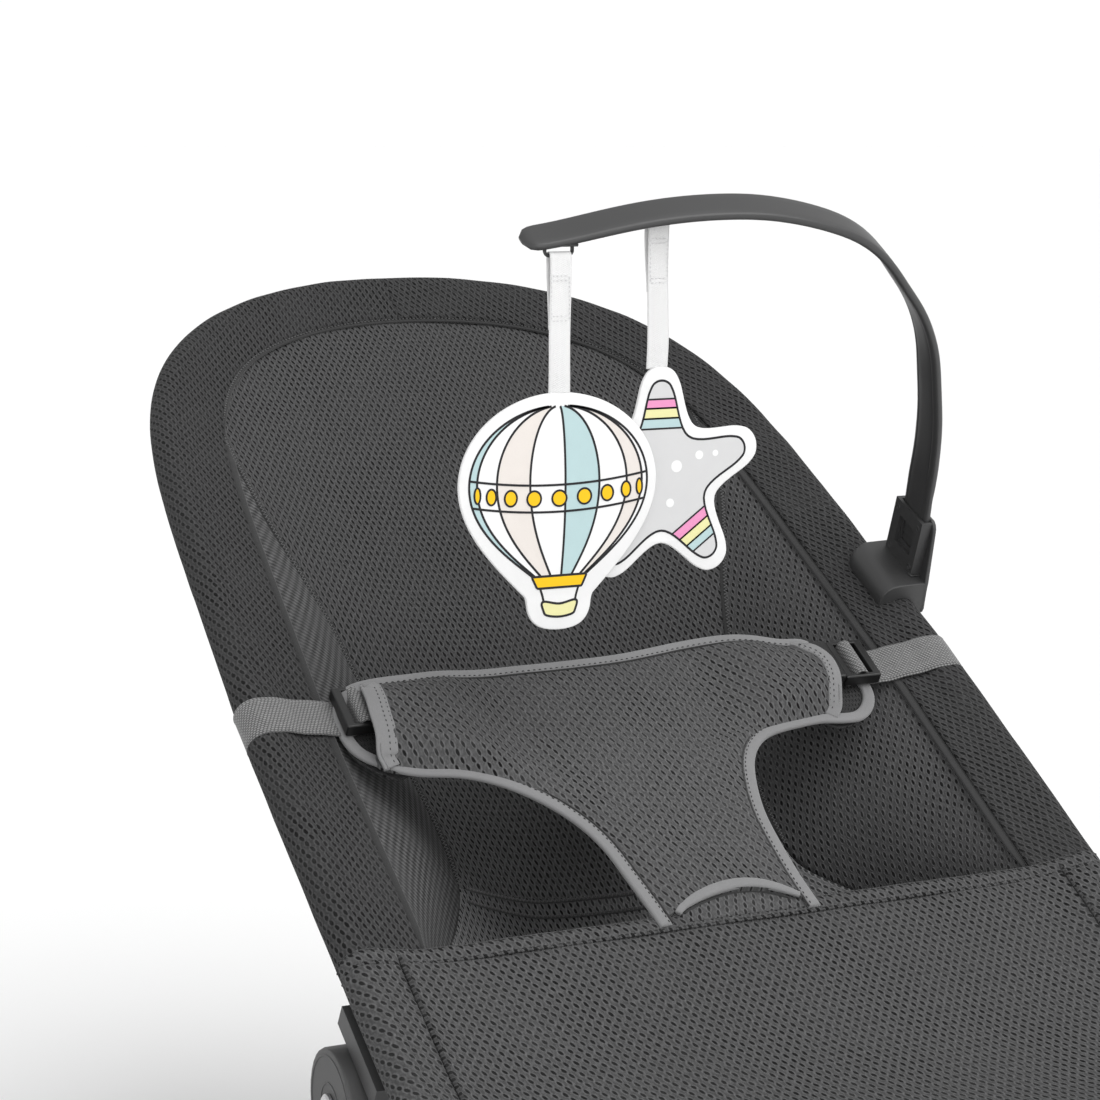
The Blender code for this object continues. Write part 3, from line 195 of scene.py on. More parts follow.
class Mat:
    """A node material: small helpers that return sockets."""

    def __init__(self, name, base=(0.5, 0.5, 0.5), rough=0.8, metallic=0.0, sheen=0.0, specular=0.5, coat=0.0):
        self.m = bpy.data.materials.new(name)
        self.m.use_nodes = True
        self.nt = self.m.node_tree
        self.nt.nodes.clear()
        self.out = self.nt.nodes.new("ShaderNodeOutputMaterial")
        self.b = self.nt.nodes.new("ShaderNodeBsdfPrincipled")
        self.nt.links.new(self.b.outputs[0], self.out.inputs["Surface"])
        self.b.inputs["Base Color"].default_value = (*base, 1)
        self.b.inputs["Roughness"].default_value = rough
        self.b.inputs["Metallic"].default_value = metallic
        self.b.inputs["Sheen Weight"].default_value = sheen
        self.b.inputs["Sheen Roughness"].default_value = 0.5
        self.b.inputs["Specular IOR Level"].default_value = specular
        self.b.inputs["Coat Weight"].default_value = coat
        self.m.diffuse_color = (*base, 1)

    def node(self, kind):
        return self.nt.nodes.new(kind)

    def put(self, value, socket):
        if isinstance(value, bpy.types.NodeSocket):
            self.nt.links.new(value, socket)
        elif value is not None:
            socket.default_value = value

    def math(self, op, a, b=None, c=None, clamp=False):
        n = self.node("ShaderNodeMath")
        n.operation = op
        n.use_clamp = clamp
        for i, v in enumerate((a, b, c)):
            self.put(v, n.inputs[i])
        return n.outputs[0]

    def step(self, v, lo, hi, a=0.0, b=1.0):
        n = self.node("ShaderNodeMapRange")
        n.interpolation_type = "SMOOTHSTEP"
        self.put(v, n.inputs["Value"])
        for name, x in (("From Min", lo), ("From Max", hi), ("To Min", a), ("To Max", b)):
            self.put(x, n.inputs[name])
        return n.outputs[0]

    def uv(self, name="weave"):
        n = self.node("ShaderNodeUVMap")
        n.uv_map = name
        return n.outputs[0]

    def obj(self):
        return self.node("ShaderNodeTexCoord").outputs["Object"]

    def split(self, v):
        n = self.node("ShaderNodeSeparateXYZ")
        self.put(v, n.inputs[0])
        return n.outputs

    def join(self, x, y, z=0.0):
        n = self.node("ShaderNodeCombineXYZ")
        for i, v in enumerate((x, y, z)):
            self.put(v, n.inputs[i])
        return n.outputs[0]

    def vmul(self, v, k):
        n = self.node("ShaderNodeVectorMath")
        n.operation = "MULTIPLY"
        self.put(v, n.inputs[0])
        self.put(k, n.inputs[1])
        return n.outputs[0]

    def noise(self, v, scale, detail=2.0, rough=0.5, distort=0.0):
        n = self.node("ShaderNodeTexNoise")
        self.put(v, n.inputs["Vector"])
        n.inputs["Scale"].default_value = scale
        n.inputs["Detail"].default_value = detail
        n.inputs["Roughness"].default_value = rough
        n.inputs["Distortion"].default_value = distort
        return n.outputs["Fac"]

    def voronoi(self, v, scale, feature="F1"):
        n = self.node("ShaderNodeTexVoronoi")
        n.feature = feature
        self.put(v, n.inputs["Vector"])
        n.inputs["Scale"].default_value = scale
        return n.outputs["Distance"]

    def mix(self, fac, a, b):
        n = self.node("ShaderNodeMix")
        n.data_type = "RGBA"
        n.clamp_factor = True
        self.put(fac, n.inputs[0])
        for v, s in ((a, n.inputs[6]), (b, n.inputs[7])):
            if isinstance(v, (tuple, list)):
                s.default_value = (*v[:3], 1)
            elif isinstance(v, float):
                s.default_value = (v, v, v, 1)
            else:
                self.put(v, s)
        return n.outputs[2]

    def scale_colour(self, col, k):
        """Colour times a number."""
        n = self.node("ShaderNodeVectorMath")
        n.operation = "SCALE"
        if isinstance(col, (tuple, list)):
            n.inputs[0].default_value = col[:3]
        else:
            self.put(col, n.inputs[0])
        self.put(k, n.inputs["Scale"])
        return n.outputs[0]

    def colour(self, v):
        self.put(v, self.b.inputs["Base Color"])

    def rough(self, v):
        self.put(v, self.b.inputs["Roughness"])

    def bump(self, height, distance, strength=1.0, normal=None):
        n = self.node("ShaderNodeBump")
        n.inputs["Strength"].default_value = strength
        n.inputs["Distance"].default_value = distance
        self.put(height, n.inputs["Height"])
        if normal is not None:
            self.put(normal, n.inputs["Normal"])
        self.nt.links.new(n.outputs[0], self.b.inputs["Normal"])
        return n.outputs[0]


def grey(v, tint=0.004):
    return (v, v, v * (1 + tint * 3))


def lattice(m, u, v, px, py, rx, ry, power=1.8, slant=0.0):
    """Distance measure of an offset lattice of long holes: 1 on a hole's edge."""
    a = m.math("DIVIDE", u, px)
    b = m.math("DIVIDE", v, py)
    j = m.math("FLOOR", b)
    half = m.math("MULTIPLY", m.math("FLOORED_MODULO", j, 2.0), 0.5)
    fa = m.math("SUBTRACT", m.math("FRACT", m.math("ADD", a, half)), 0.5)
    fb = m.math("SUBTRACT", m.math("FRACT", b), 0.5)
    across = m.math("ADD", m.math("MULTIPLY", fa, px / rx), m.math("MULTIPLY", fb, slant * py / rx))
    x = m.math("POWER", m.math("ABSOLUTE", across), power)
    y = m.math("POWER", m.math("ABSOLUTE", m.math("MULTIPLY", fb, py / ry)), power)
    return m.math("ADD", x, y), fa, fb


def spacer_mesh(name, base, px, py, rx, ry, hole=0.0040, strength=(0.55, 1.0), patch=22.0, warp=0.0009, lean=0.0, bump=1.0, slant=0.30, low=None):
    """Warp-knitted spacer fabric: rows of long holes with a second layer dimly inside, the holes' insides painted
    near-black as painted shade and the rim round each hole painted lighter as a painted highlight.
    """
    m = Mat(name, grey(base), 0.92, sheen=0.03, specular=0.12)
    uv = m.uv()
    u, v, _ = m.split(uv)
    soft = m.math("SUBTRACT", m.noise(uv, 260.0, 1.0), 0.5)
    soft2 = m.math("SUBTRACT", m.noise(m.vmul(uv, (1.0, 1.0, 1.0)), 190.0, 1.0), 0.5)
    u2 = m.math("ADD", u, m.math("MULTIPLY", soft, warp))
    v2 = m.math("ADD", v, m.math("MULTIPLY", soft2, warp))
    if lean:
        u2 = m.math("ADD", u2, m.math("MULTIPLY", v2, lean))
    d, fa, fb = lattice(m, u2, v2, px, py, rx, ry, slant=slant)
    area = m.noise(uv, patch, 2.0, 0.55, 0.6)
    power = m.step(area, 0.30, 0.72, *strength)
    cut = m.math("MULTIPLY", m.step(d, 1.35, 0.60), power)
    rim = m.math("MULTIPLY", m.step(d, 0.9, 1.9), m.step(d, 5.0, 1.9))
    # the loops between the holes: fine slanted yarns
    yarn = m.noise(m.vmul(uv, (1.0, 0.42, 1.0)), 1500.0, 2.0, 0.6)
    fleck = m.step(m.noise(m.vmul(uv, (1.0, 0.5, 1.0)), 700.0, 2.0, 0.6), 0.35, 0.75)
    tone = m.math("ADD", 0.50, m.math("MULTIPLY", yarn, 0.38))
    tone = m.math("ADD", tone, m.math("MULTIPLY", fleck, 0.46))
    # the raised rim round each hole painted lighter: painted highlight
    tone = m.math("ADD", tone, m.math("MULTIPLY", rim, 0.40))
    large = m.noise(uv, 9.0, 2.0)
    tone = m.math("MULTIPLY", tone, m.math("ADD", 0.94, m.math("MULTIPLY", large, 0.12)))
    # optionally lighter towards the lower end of v: painted fill light against the shade there
    if low:
        tone = m.math("MULTIPLY", tone, m.math("ADD", 1.0, m.math("MULTIPLY", m.step(v, low[0], low[1]), low[2])))
    thread = m.scale_colour(grey(base), tone)
    # the holes' insides: near-black colour standing for the shade over the second layer, painted shade, its depth
    # varied in patches by power
    inner = m.mix(m.noise(uv, 420.0, 1.0), grey(hole * 0.35), grey(hole * 1.9))
    m.colour(m.mix(cut, thread, inner))
    h = m.math("ADD", m.math("MULTIPLY", cut, -1.0), m.math("MULTIPLY", rim, 0.45))
    h = m.math("ADD", h, m.math("MULTIPLY", yarn, 0.22))
    m.bump(h, 0.00055, 0.75 * bump)
    return m.m


def twill_mesh(name, base, pitch, row, along, across):
    """The same fabric pulled on the bias: close diagonal rows of short slanted loops, their crests painted lighter and
    the hollows darker as painted highlight and shade.
    """
    m = Mat(name, grey(base), 0.92, sheen=0.03, specular=0.12)
    uv = m.uv()
    u, v, _ = m.split(uv)
    soft = m.math("SUBTRACT", m.noise(uv, 150.0, 1.0), 0.5)
    r = m.math("ADD", m.math("ADD", v, m.math("MULTIPLY", u, along)), m.math("MULTIPLY", soft, 0.0018))
    w = m.math("SUBTRACT", v, m.math("MULTIPLY", u, across))
    b = m.math("DIVIDE", w, row)
    fb = m.math("SUBTRACT", m.math("FRACT", b), 0.5)
    j = m.math("FLOORED_MODULO", m.math("FLOOR", b), 2.0)
    a = m.math("ADD", m.math("DIVIDE", m.math("ADD", r, m.math("MULTIPLY", fb, 0.48 * row)), pitch), m.math("MULTIPLY", j, 0.5))
    wave = m.math("COSINE", m.math("MULTIPLY", a, 2 * math.pi))
    hold = m.step(m.math("ABSOLUTE", fb), 0.52, 0.22)
    area = m.noise(uv, 30.0, 2.0, 0.55, 0.6)
    power = m.math("MULTIPLY", m.step(area, 0.30, 0.72, 0.45, 1.0), hold)
    light = m.math("MULTIPLY", m.step(wave, 0.30, 0.95), power)
    dark = m.math("MULTIPLY", m.step(wave, -0.35, -0.95), power)
    yarn = m.noise(m.vmul(uv, (1.0, 0.42, 1.0)), 1500.0, 2.0, 0.6)
    tone = m.math("ADD", 0.62, m.math("MULTIPLY", yarn, 0.36))
    # loop crests painted lighter and the hollows between them darker, matching the bump: painted highlight and painted
    # shade
    tone = m.math("ADD", tone, m.math("MULTIPLY", light, 0.90))
    tone = m.math("SUBTRACT", tone, m.math("MULTIPLY", dark, 0.62))
    m.colour(m.scale_colour(grey(base), tone))
    m.bump(m.math("SUBTRACT", m.math("ADD", light, m.math("MULTIPLY", yarn, 0.2)), dark), 0.0004, 0.7)
    return m.m


def ribbed_mesh(name, base, pitch, rib_lean):
    """The spacer fabric seen along its channels: fine ribs broken into flecks, the flecks on the rib crests painted
    lighter as a painted highlight.
    """
    m = Mat(name, grey(base), 0.92, sheen=0.10, specular=0.25)
    uv = m.uv()
    u, v, _ = m.split(uv)
    soft = m.math("SUBTRACT", m.noise(uv, 120.0, 1.0), 0.5)
    w = m.math("ADD", m.math("ADD", u, m.math("MULTIPLY", v, rib_lean)), m.math("MULTIPLY", soft, 0.0009))
    stripe = m.math("SINE", m.math("MULTIPLY", w, 2 * math.pi / pitch))
    stripe = m.math("ADD", m.math("MULTIPLY", stripe, 0.5), 0.5)
    k = m.math("FLOOR", m.math("DIVIDE", w, pitch))
    run = m.math("ADD", m.math("DIVIDE", v, 0.0034), m.math("MULTIPLY", k, 0.5))
    beads = m.math("ADD", m.math("MULTIPLY", m.math("SINE", m.math("MULTIPLY", run, 2 * math.pi)), 0.5), 0.5)
    patch = m.step(m.noise(uv, 26.0, 2.0, 0.5, 0.5), 0.3, 0.7, 0.55, 1.0)
    light = m.math("MULTIPLY", m.math("MULTIPLY", m.step(stripe, 0.45, 0.95), m.step(beads, 0.05, 0.7)), patch)
    fine = m.noise(m.vmul(uv, (1.0, 0.4, 1.0)), 1400.0, 2.0, 0.6)
    # rib crests, broken into beads, painted lighter where the bump raises them: painted highlight
    tone = m.math("ADD", m.math("ADD", 0.60, m.math("MULTIPLY", light, 0.85)), m.math("MULTIPLY", fine, 0.28))
    m.colour(m.scale_colour(grey(base), tone))
    m.bump(m.math("ADD", m.math("MULTIPLY", stripe, 0.8), m.math("MULTIPLY", fine, 0.3)), 0.0005, 0.7)
    return m.m


def felt_tape(name, base):
    """Brushed knitted binding tape."""
    m = Mat(name, grey(base), 0.95, sheen=0.25, specular=0.2)
    uv = m.uv()
    fine = m.noise(uv, 1900.0, 3.0, 0.7)
    mid = m.noise(m.vmul(uv, (1.0, 1.7, 1.0)), 420.0, 2.0, 0.6)
    big = m.noise(uv, 60.0, 2.0)
    tone = m.math("ADD", 0.80, m.math("MULTIPLY", fine, 0.22))
    tone = m.math("ADD", tone, m.math("MULTIPLY", mid, 0.12))
    tone = m.math("ADD", tone, m.math("MULTIPLY", big, 0.10))
    m.colour(m.scale_colour(grey(base), tone))
    m.bump(m.math("ADD", fine, m.math("MULTIPLY", mid, 0.8)), 0.00022, 0.6)
    return m.m


def web(name, base, light, pitch_u=0.0011, pitch_v=0.00085, tint=(1, 1, 1), rough=0.7, sheen=0.2):
    """Woven tape, u along it and v across: a twill of short floats, their tops painted up towards light as a painted
    highlight and the gaps left dark as painted shade, each float varied at random.
    """
    m = Mat(name, grey(base), rough, sheen=sheen, specular=0.35)
    uv = m.uv()
    u, v, _ = m.split(uv)
    soft = m.math("SUBTRACT", m.noise(uv, 500.0, 1.0), 0.5)
    a = m.math("DIVIDE", m.math("ADD", u, m.math("MULTIPLY", soft, 0.0003)), pitch_u)
    b = m.math("DIVIDE", v, pitch_v)
    j = m.math("FLOOR", b)
    fa = m.math("SUBTRACT", m.math("FRACT", m.math("ADD", a, m.math("MULTIPLY", j, 0.34))), 0.5)
    fb = m.math("SUBTRACT", m.math("FRACT", b), 0.5)
    d = m.math("ADD", m.math("POWER", m.math("ABSOLUTE", m.math("MULTIPLY", fa, 2.1)), 2.0),
               m.math("POWER", m.math("ABSOLUTE", m.math("MULTIPLY", fb, 2.2)), 2.0))
    bead = m.step(d, 1.3, 0.1)
    each = m.noise(m.join(m.math("MULTIPLY", m.math("FLOOR", m.math("ADD", a, m.math("MULTIPLY", j, 0.34))), 0.37), m.math("MULTIPLY", j, 0.61)), 3.1, 0.0)
    fine = m.noise(uv, 2600.0, 2.0, 0.7)
    # float tops painted towards light, gaps between them at base: painted highlight and painted shade; each float's own
    # tone varies at random
    tone = m.math("ADD", m.math("MULTIPLY", bead, 0.55), m.math("MULTIPLY", m.math("MULTIPLY", each, bead), 0.45))
    tone = m.math("ADD", tone, m.math("MULTIPLY", fine, 0.18))
    col = m.mix(tone, tuple(base * c for c in tint), tuple(light * c for c in tint))
    m.colour(col)
    m.bump(m.math("ADD", bead, m.math("MULTIPLY", fine, 0.2)), 0.00022, 0.7)
    return m.m


def moulded(name, base, rough, grain=0.00006, scale=2600.0, coat=0.0, worn=0.0, specular=0.5):
    """Moulded plastic with a spark-eroded grain and a little tonal drift."""
    m = Mat(name, grey(base), rough, coat=coat, specular=specular)
    co = m.obj()
    fine = m.noise(co, scale, 2.0, 0.6)
    big = m.noise(co, 22.0, 3.0, 0.55)
    tone = m.math("ADD", 0.93, m.math("ADD", m.math("MULTIPLY", big, 0.10), m.math("MULTIPLY", fine, 0.05)))
    m.colour(m.scale_colour(grey(base), tone))
    m.rough(m.math("ADD", rough - 0.07, m.math("ADD", m.math("MULTIPLY", big, 0.10), m.math("MULTIPLY", fine, 0.05))))
    m.bump(fine, grain, 0.55)
    return m.m


def powder(name, base, rough=0.38):
    """Powder coated steel: orange peel and a soft gloss."""
    m = Mat(name, grey(base), rough, metallic=0.0, coat=0.25, specular=0.5)
    co = m.obj()
    peel = m.voronoi(co, 900.0, "SMOOTH_F1")
    fine = m.noise(co, 1600.0, 2.0)
    big = m.noise(co, 14.0, 3.0)
    m.colour(m.scale_colour(grey(base), m.math("ADD", 0.90, m.math("ADD", m.math("MULTIPLY", big, 0.12), m.math("MULTIPLY", fine, 0.08)))))
    m.rough(m.math("ADD", rough - 0.06, m.math("ADD", m.math("MULTIPLY", big, 0.12), m.math("MULTIPLY", fine, 0.06))))
    m.bump(m.math("ADD", peel, m.math("MULTIPLY", fine, 0.3)), 0.00012, 0.35)
    return m.m


def steel(name, base, rough):
    m = Mat(name, grey(base), rough, metallic=1.0)
    co = m.obj()
    brushed = m.noise(m.vmul(co, (1.0, 9.0, 9.0)), 900.0, 3.0, 0.6)
    big = m.noise(co, 60.0, 3.0)
    m.colour(m.scale_colour(grey(base), m.math("ADD", 0.85, m.math("MULTIPLY", big, 0.25))))
    m.rough(m.math("ADD", rough - 0.08, m.math("ADD", m.math("MULTIPLY", brushed, 0.12), m.math("MULTIPLY", big, 0.12))))
    m.bump(brushed, 0.00003, 0.4)
    return m.m


def rubber(name, base):
    m = Mat(name, grey(base), 0.75, specular=0.35)
    co = m.obj()
    fine = m.noise(co, 1800.0, 3.0, 0.65)
    dust = m.step(m.noise(co, 90.0, 4.0, 0.6), 0.50, 0.80)
    m.colour(m.mix(m.math("MULTIPLY", dust, 0.30), grey(base), grey(base * 3.2)))
    m.rough(m.math("ADD", 0.68, m.math("MULTIPLY", fine, 0.16)))
    m.bump(fine, 0.0001, 0.5)
    return m.m


def toy_felt(name, rgb, sheen=0.15, strength=1.0):
    """Short printed felt: tiny fibres and a slightly uneven print."""
    m = Mat(name, rgb, 0.93, sheen=sheen, specular=0.2)
    co = m.obj()
    fibre = m.noise(co, 2300.0, 3.0, 0.7)
    cloud = m.noise(co, 120.0, 3.0, 0.6)
    tone = m.math("ADD", 1.0 - 0.075 * strength, m.math("ADD", m.math("MULTIPLY", fibre, 0.09 * strength), m.math("MULTIPLY", cloud, 0.06 * strength)))
    m.colour(m.scale_colour(rgb, tone))
    m.bump(m.math("ADD", fibre, m.math("MULTIPLY", cloud, 0.5)), 0.00013, 0.5)
    return m.m


M = {}
# the back panel's fabric is painted up to 60% lighter towards its lower end (low): painted fill light against the shade
# under the harness
M["back"] = spacer_mesh("back_mesh", 0.061, 0.00425, 0.00375, 0.00072, 0.00165, strength=(0.78, 1.0), slant=-0.24, low=(0.30, 0.41, 0.60))
M["border"] = spacer_mesh("border_mesh", 0.042, 0.0042, 0.0037, 0.00076, 0.00165, strength=(0.60, 1.0), patch=34.0)
M["front"] = spacer_mesh("front_mesh", 0.069, 0.0050, 0.0035, 0.00086, 0.00135, strength=(0.75, 1.0), slant=0.42)
M["harness"] = spacer_mesh("harness_mesh", 0.084, 0.0053, 0.0039, 0.00074, 0.00165, strength=(0.55, 1.0), patch=30.0, slant=0.42)
M["lining"] = spacer_mesh("lining_mesh", 0.045, 0.0045, 0.0037, 0.0007, 0.0014, strength=(0.5, 1.0))
M["gusset_left"] = twill_mesh("gusset_mesh_left", 0.080, 0.0090, 0.0025, 0.763, 0.381)
M["gusset_right"] = spacer_mesh("gusset_mesh_right", 0.074, 0.0049, 0.0036, 0.00066, 0.00155, strength=(0.66, 1.0), slant=0.12)
# the pocket's fabric is the back panel's, painted much lighter (0.135 against 0.061): painted fill light lifting the
# shade in the pocket
M["pocket"] = spacer_mesh("pocket_mesh_painted_fill_light", 0.135, 0.00425, 0.00375, 0.00072, 0.00155, strength=(0.62, 1.0), slant=-0.24)
# dark felt for the fine seam line along the sleeve, also laid as a painted shadow under the pad's arched end
M["seam_dark"] = felt_tape("seam_tape", 0.030)
M["seam_cloth"] = felt_tape("seam_cloth", 0.024)
M["rib"] = ribbed_mesh("gusset_mesh", 0.100, 0.0025, 0.0)
M["tape"] = felt_tape("binding_tape", 0.185)
M["tape_dark"] = felt_tape("seam_tape", 0.060)
M["webbing"] = web("waist_webbing", 0.024, 0.250, pitch_u=0.0019, pitch_v=0.00125)
M["thread"] = felt_tape("sewing_thread", 0.115)
M["thread_dark"] = felt_tape("dark_thread", 0.022)
M["ribbon"] = web("ribbon_twill", 0.66, 0.80, 0.0009, 0.00065, rough=0.65, sheen=0.1)
M["ribbon_thread"] = felt_tape("ribbon_thread", 0.58)
M["felt"] = toy_felt("toy_felt", (0.730, 0.730, 0.730))
M["felt_white"] = toy_felt("print_white", (0.755, 0.755, 0.755))
M["teal"] = toy_felt("print_teal", (0.416, 0.553, 0.565))
M["sand"] = toy_felt("print_sand", (0.674, 0.630, 0.594))
M["yellow"] = toy_felt("print_yellow", (0.800, 0.484, 0.014))
M["cream"] = toy_felt("print_cream", (0.700, 0.675, 0.353))
M["pink"] = toy_felt("print_pink", (0.710, 0.273, 0.473))
M["print_grey"] = toy_felt("print_grey", (0.565, 0.565, 0.568))
M["ink"] = toy_felt("print_ink", (0.020, 0.020, 0.022))
M["steel_dark"] = powder("powder_coat", 0.040)
M["clip"] = moulded("grey_plastic", 0.040, 0.50)
M["bar"] = moulded("bar_plastic", 0.040, 0.42, grain=0.00003)
M["black"] = moulded("black_plastic", 0.008, 0.34, grain=0.00004)
M["hinge"] = moulded("hinge_plastic", 0.045, 0.50, grain=0.00008, scale=1500.0)
M["steel"] = steel("zinc_steel", 0.60, 0.34)
M["rubber"] = rubber("foot_rubber", 0.022)

# ------------------------------------------------------------------- builders
collection = scene.collection


def new_object(name, me, mat=None):
    o = bpy.data.objects.new(name, me)
    collection.objects.link(o)
    if mat is not None:
        me.materials.append(mat)
    return o


def mesh_from(name, co, faces, uv=None, mat=None, smooth=True, angle=50):
    """co (N,3), faces a list of index tuples, uv (N,2) in metres of cloth."""
    me = bpy.data.meshes.new(name)
    me.from_pydata([tuple(p) for p in co], [], [tuple(f) for f in faces])
    if uv is not None:
        layer = me.uv_layers.new(name="weave")
        idx = np.empty(len(me.loops), np.int32)
        me.loops.foreach_get("vertex_index", idx)
        layer.data.foreach_set("uv", np.asarray(uv, np.float32)[idx].ravel())
    me.validate()
    bm = bmesh.new()
    bm.from_mesh(me)
    bmesh.ops.recalc_face_normals(bm, faces=bm.faces[:])
    bm.to_mesh(me)
    bm.free()
    if smooth:
        me.shade_smooth()
        if angle < 179:
            me.set_sharp_from_angle(angle=math.radians(angle))
    return new_object(name, me, mat)


def grid_faces(rows, cols, closed=False, start=0):
    r = np.arange(rows - 1)[:, None]
    c = np.arange(cols if closed else cols - 1)[None, :]
    a = start + r * cols + c
    b = start + r * cols + (c + 1) % cols
    return np.stack([a, b, b + cols, a + cols], -1).reshape(-1, 4).tolist()


def arc_uv(P, centre=None):
    """Cloth coordinates of a grid of points: across from its middle column, along its middle."""
    rows, cols = P.shape[:2]
    mid = cols // 2 if centre is None else centre
    du = np.linalg.norm(np.diff(P, axis=1), axis=2)
    u = np.concatenate([np.zeros((rows, 1)), np.cumsum(du, axis=1)], 1)
    u = u - u[:, mid:mid + 1]
    dv = np.linalg.norm(np.diff(P[:, mid], axis=0), axis=1)
    v = np.concatenate([[0], np.cumsum(dv)])
    return np.stack([u, np.broadcast_to(v[:, None], u.shape)], -1)


def cloth(name, P, mat, uv=None, thick=0.0, offset=-1.0, closed=False, turn=0.0, angle=60):
    """A fabric surface from a grid of points, made solid."""
    rows, cols = P.shape[:2]
    if uv is None:
        uv = arc_uv(P)
    uv = uv.reshape(-1, 2)
    if turn:
        c, s = math.cos(turn), math.sin(turn)
        uv = np.stack([uv[:, 0] * c - uv[:, 1] * s, uv[:, 0] * s + uv[:, 1] * c], 1)
    o = mesh_from(name, P.reshape(-1, 3), grid_faces(rows, cols, closed), uv, mat, angle=angle)
    if thick:
        mod = o.modifiers.new("thickness", "SOLIDIFY")
        mod.thickness = thick
        mod.offset = offset
        mod.use_even_offset = False
    return o


def shell(name, top, bottom, uv, mat, angle=60):
    """Closed pad between an upper and a lower grid."""
    rows, cols = top.shape[:2]
    k = rows * cols
    faces = grid_faces(rows, cols)
    faces += [f[::-1] for f in grid_faces(rows, cols, start=k)]
    rim = [(0, c) for c in range(cols)] + [(r, cols - 1) for r in range(1, rows)]
    rim += [(rows - 1, c) for c in range(cols - 2, -1, -1)] + [(r, 0) for r in range(rows - 2, 0, -1)]
    ids = [r * cols + c for r, c in rim]
    for a, b in zip(ids, ids[1:] + ids[:1]):
        faces.append((a, b, b + k, a + k))
    co = np.concatenate([top.reshape(-1, 3), bottom.reshape(-1, 3)])
    return mesh_from(name, co, faces, np.concatenate([uv.reshape(-1, 2)] * 2), mat, angle=angle)


def frames(path, up):
    """Tangent, side and normal along a 3D path; up is a hint for the normal (vector or per point)."""
    t = np.gradient(path, axis=0)
    t /= np.maximum(np.linalg.norm(t, axis=1, keepdims=True), 1e-12)
    up = np.broadcast_to(np.asarray(up, float), path.shape)
    side = np.cross(t, up)
    side /= np.maximum(np.linalg.norm(side, axis=1, keepdims=True), 1e-12)
    normal = np.cross(side, t)
    return t, side, normal


def sweep(name, path, up, section, mat, closed_path=False, scale=None, caps=True, angle=60, uvk=1.0):
    """Sweeps a closed section (a to the side, b up) along a path."""
    path = np.asarray(path, float)
    if closed_path:
        ext = np.concatenate([path[-1:], path, path[:1]])
        t, side, normal = frames(ext, np.concatenate([up[-1:], up, up[:1]]) if np.ndim(up) == 2 else up)
        t, side, normal = t[1:-1], side[1:-1], normal[1:-1]
    else:
        t, side, normal = frames(path, up)
    sec = np.asarray(section, float)
    k = np.ones(len(path)) if scale is None else np.asarray(scale, float)
    P = path[:, None] + side[:, None] * (sec[None, :, :1] * k[:, None, None]) + normal[:, None] * (sec[None, :, 1:2] * k[:, None, None])
    n, c = P.shape[:2]
    run = np.concatenate([[0], np.cumsum(np.linalg.norm(np.diff(path, axis=0), axis=1))])
    around = np.concatenate([[0], np.cumsum(np.linalg.norm(np.diff(sec, axis=0), axis=1))])
    uv = np.stack([np.broadcast_to(run[:, None], (n, c)), np.broadcast_to(around[None], (n, c))], -1) * uvk
    faces = grid_faces(n, c, True)
    if closed_path:
        last = (n - 1) * c
        faces += [(last + i, last + (i + 1) % c, (i + 1) % c, i) for i in range(c)]
    elif caps:
        faces.append(tuple(range(c))[::-1])
        faces.append(tuple((n - 1) * c + i for i in range(c)))
    return mesh_from(name, P.reshape(-1, 3), faces, uv.reshape(-1, 2), mat, angle=angle)


def ring(r, count=12, squash=1.0):
    a = np.linspace(0, 2 * math.pi, count, endpoint=False)
    return np.stack([r * np.cos(a), r * squash * np.sin(a)], 1)


def stadium(width, height, count=6):
    """Rounded strip section: half circles at both ends."""
    r = height / 2
    a = np.linspace(-math.pi / 2, math.pi / 2, count)
    right = np.stack([width / 2 - r + r * np.cos(a), r * np.sin(a)], 1)
    left = np.stack([-(width / 2 - r) - r * np.cos(a), -r * np.sin(a)], 1)
    return np.concatenate([right, left])


def stitch_row(name, path, up, mat, length=0.0026, gap=0.0012, r=0.00026, lift=0.0, sink=0.0003, slant=0.0):
    """A row of separate stitches lying on a path: each dips into the cloth at its ends."""
    path = np.asarray(path, float)
    run = np.concatenate([[0], np.cumsum(np.linalg.norm(np.diff(path, axis=0), axis=1))])
    t, side, normal = frames(path, up)
    count = int(run[-1] / (length + gap))
    co, faces = [], []
    ts = np.linspace(0, 1, 5)
    prof = np.array([0.35, 0.9, 1.0, 0.9, 0.35]) * r
    bow = np.array([-sink, 0.10 * r, 0.5 * r, 0.10 * r, -sink]) + lift
    a = np.linspace(0, 2 * math.pi, 6, endpoint=False)
    for i in range(count):
        s0 = (i + 0.5) * (length + gap) - length / 2
        start = len(co)
        for j, q in enumerate(ts):
            d = s0 + q * length
            p = np.array([np.interp(d, run, path[:, c]) for c in range(3)])
            k = min(int(np.searchsorted(run, d)), len(path) - 1)
            c0 = p + normal[k] * bow[j] + side[k] * slant * (q - 0.5) * length
            for w in a:
                co.append(c0 + side[k] * prof[j] * math.cos(w) + normal[k] * prof[j] * math.sin(w))
        for j in range(4):
            for w in range(6):
                faces.append((start + j * 6 + w, start + j * 6 + (w + 1) % 6, start + (j + 1) * 6 + (w + 1) % 6, start + (j + 1) * 6 + w))
        faces.append(tuple(start + w for w in range(5, -1, -1)))
        faces.append(tuple(start + 24 + w for w in range(6)))
    co = np.array(co)
    return mesh_from(name, co, faces, co[:, :2] + co[:, 1:], mat, angle=180)


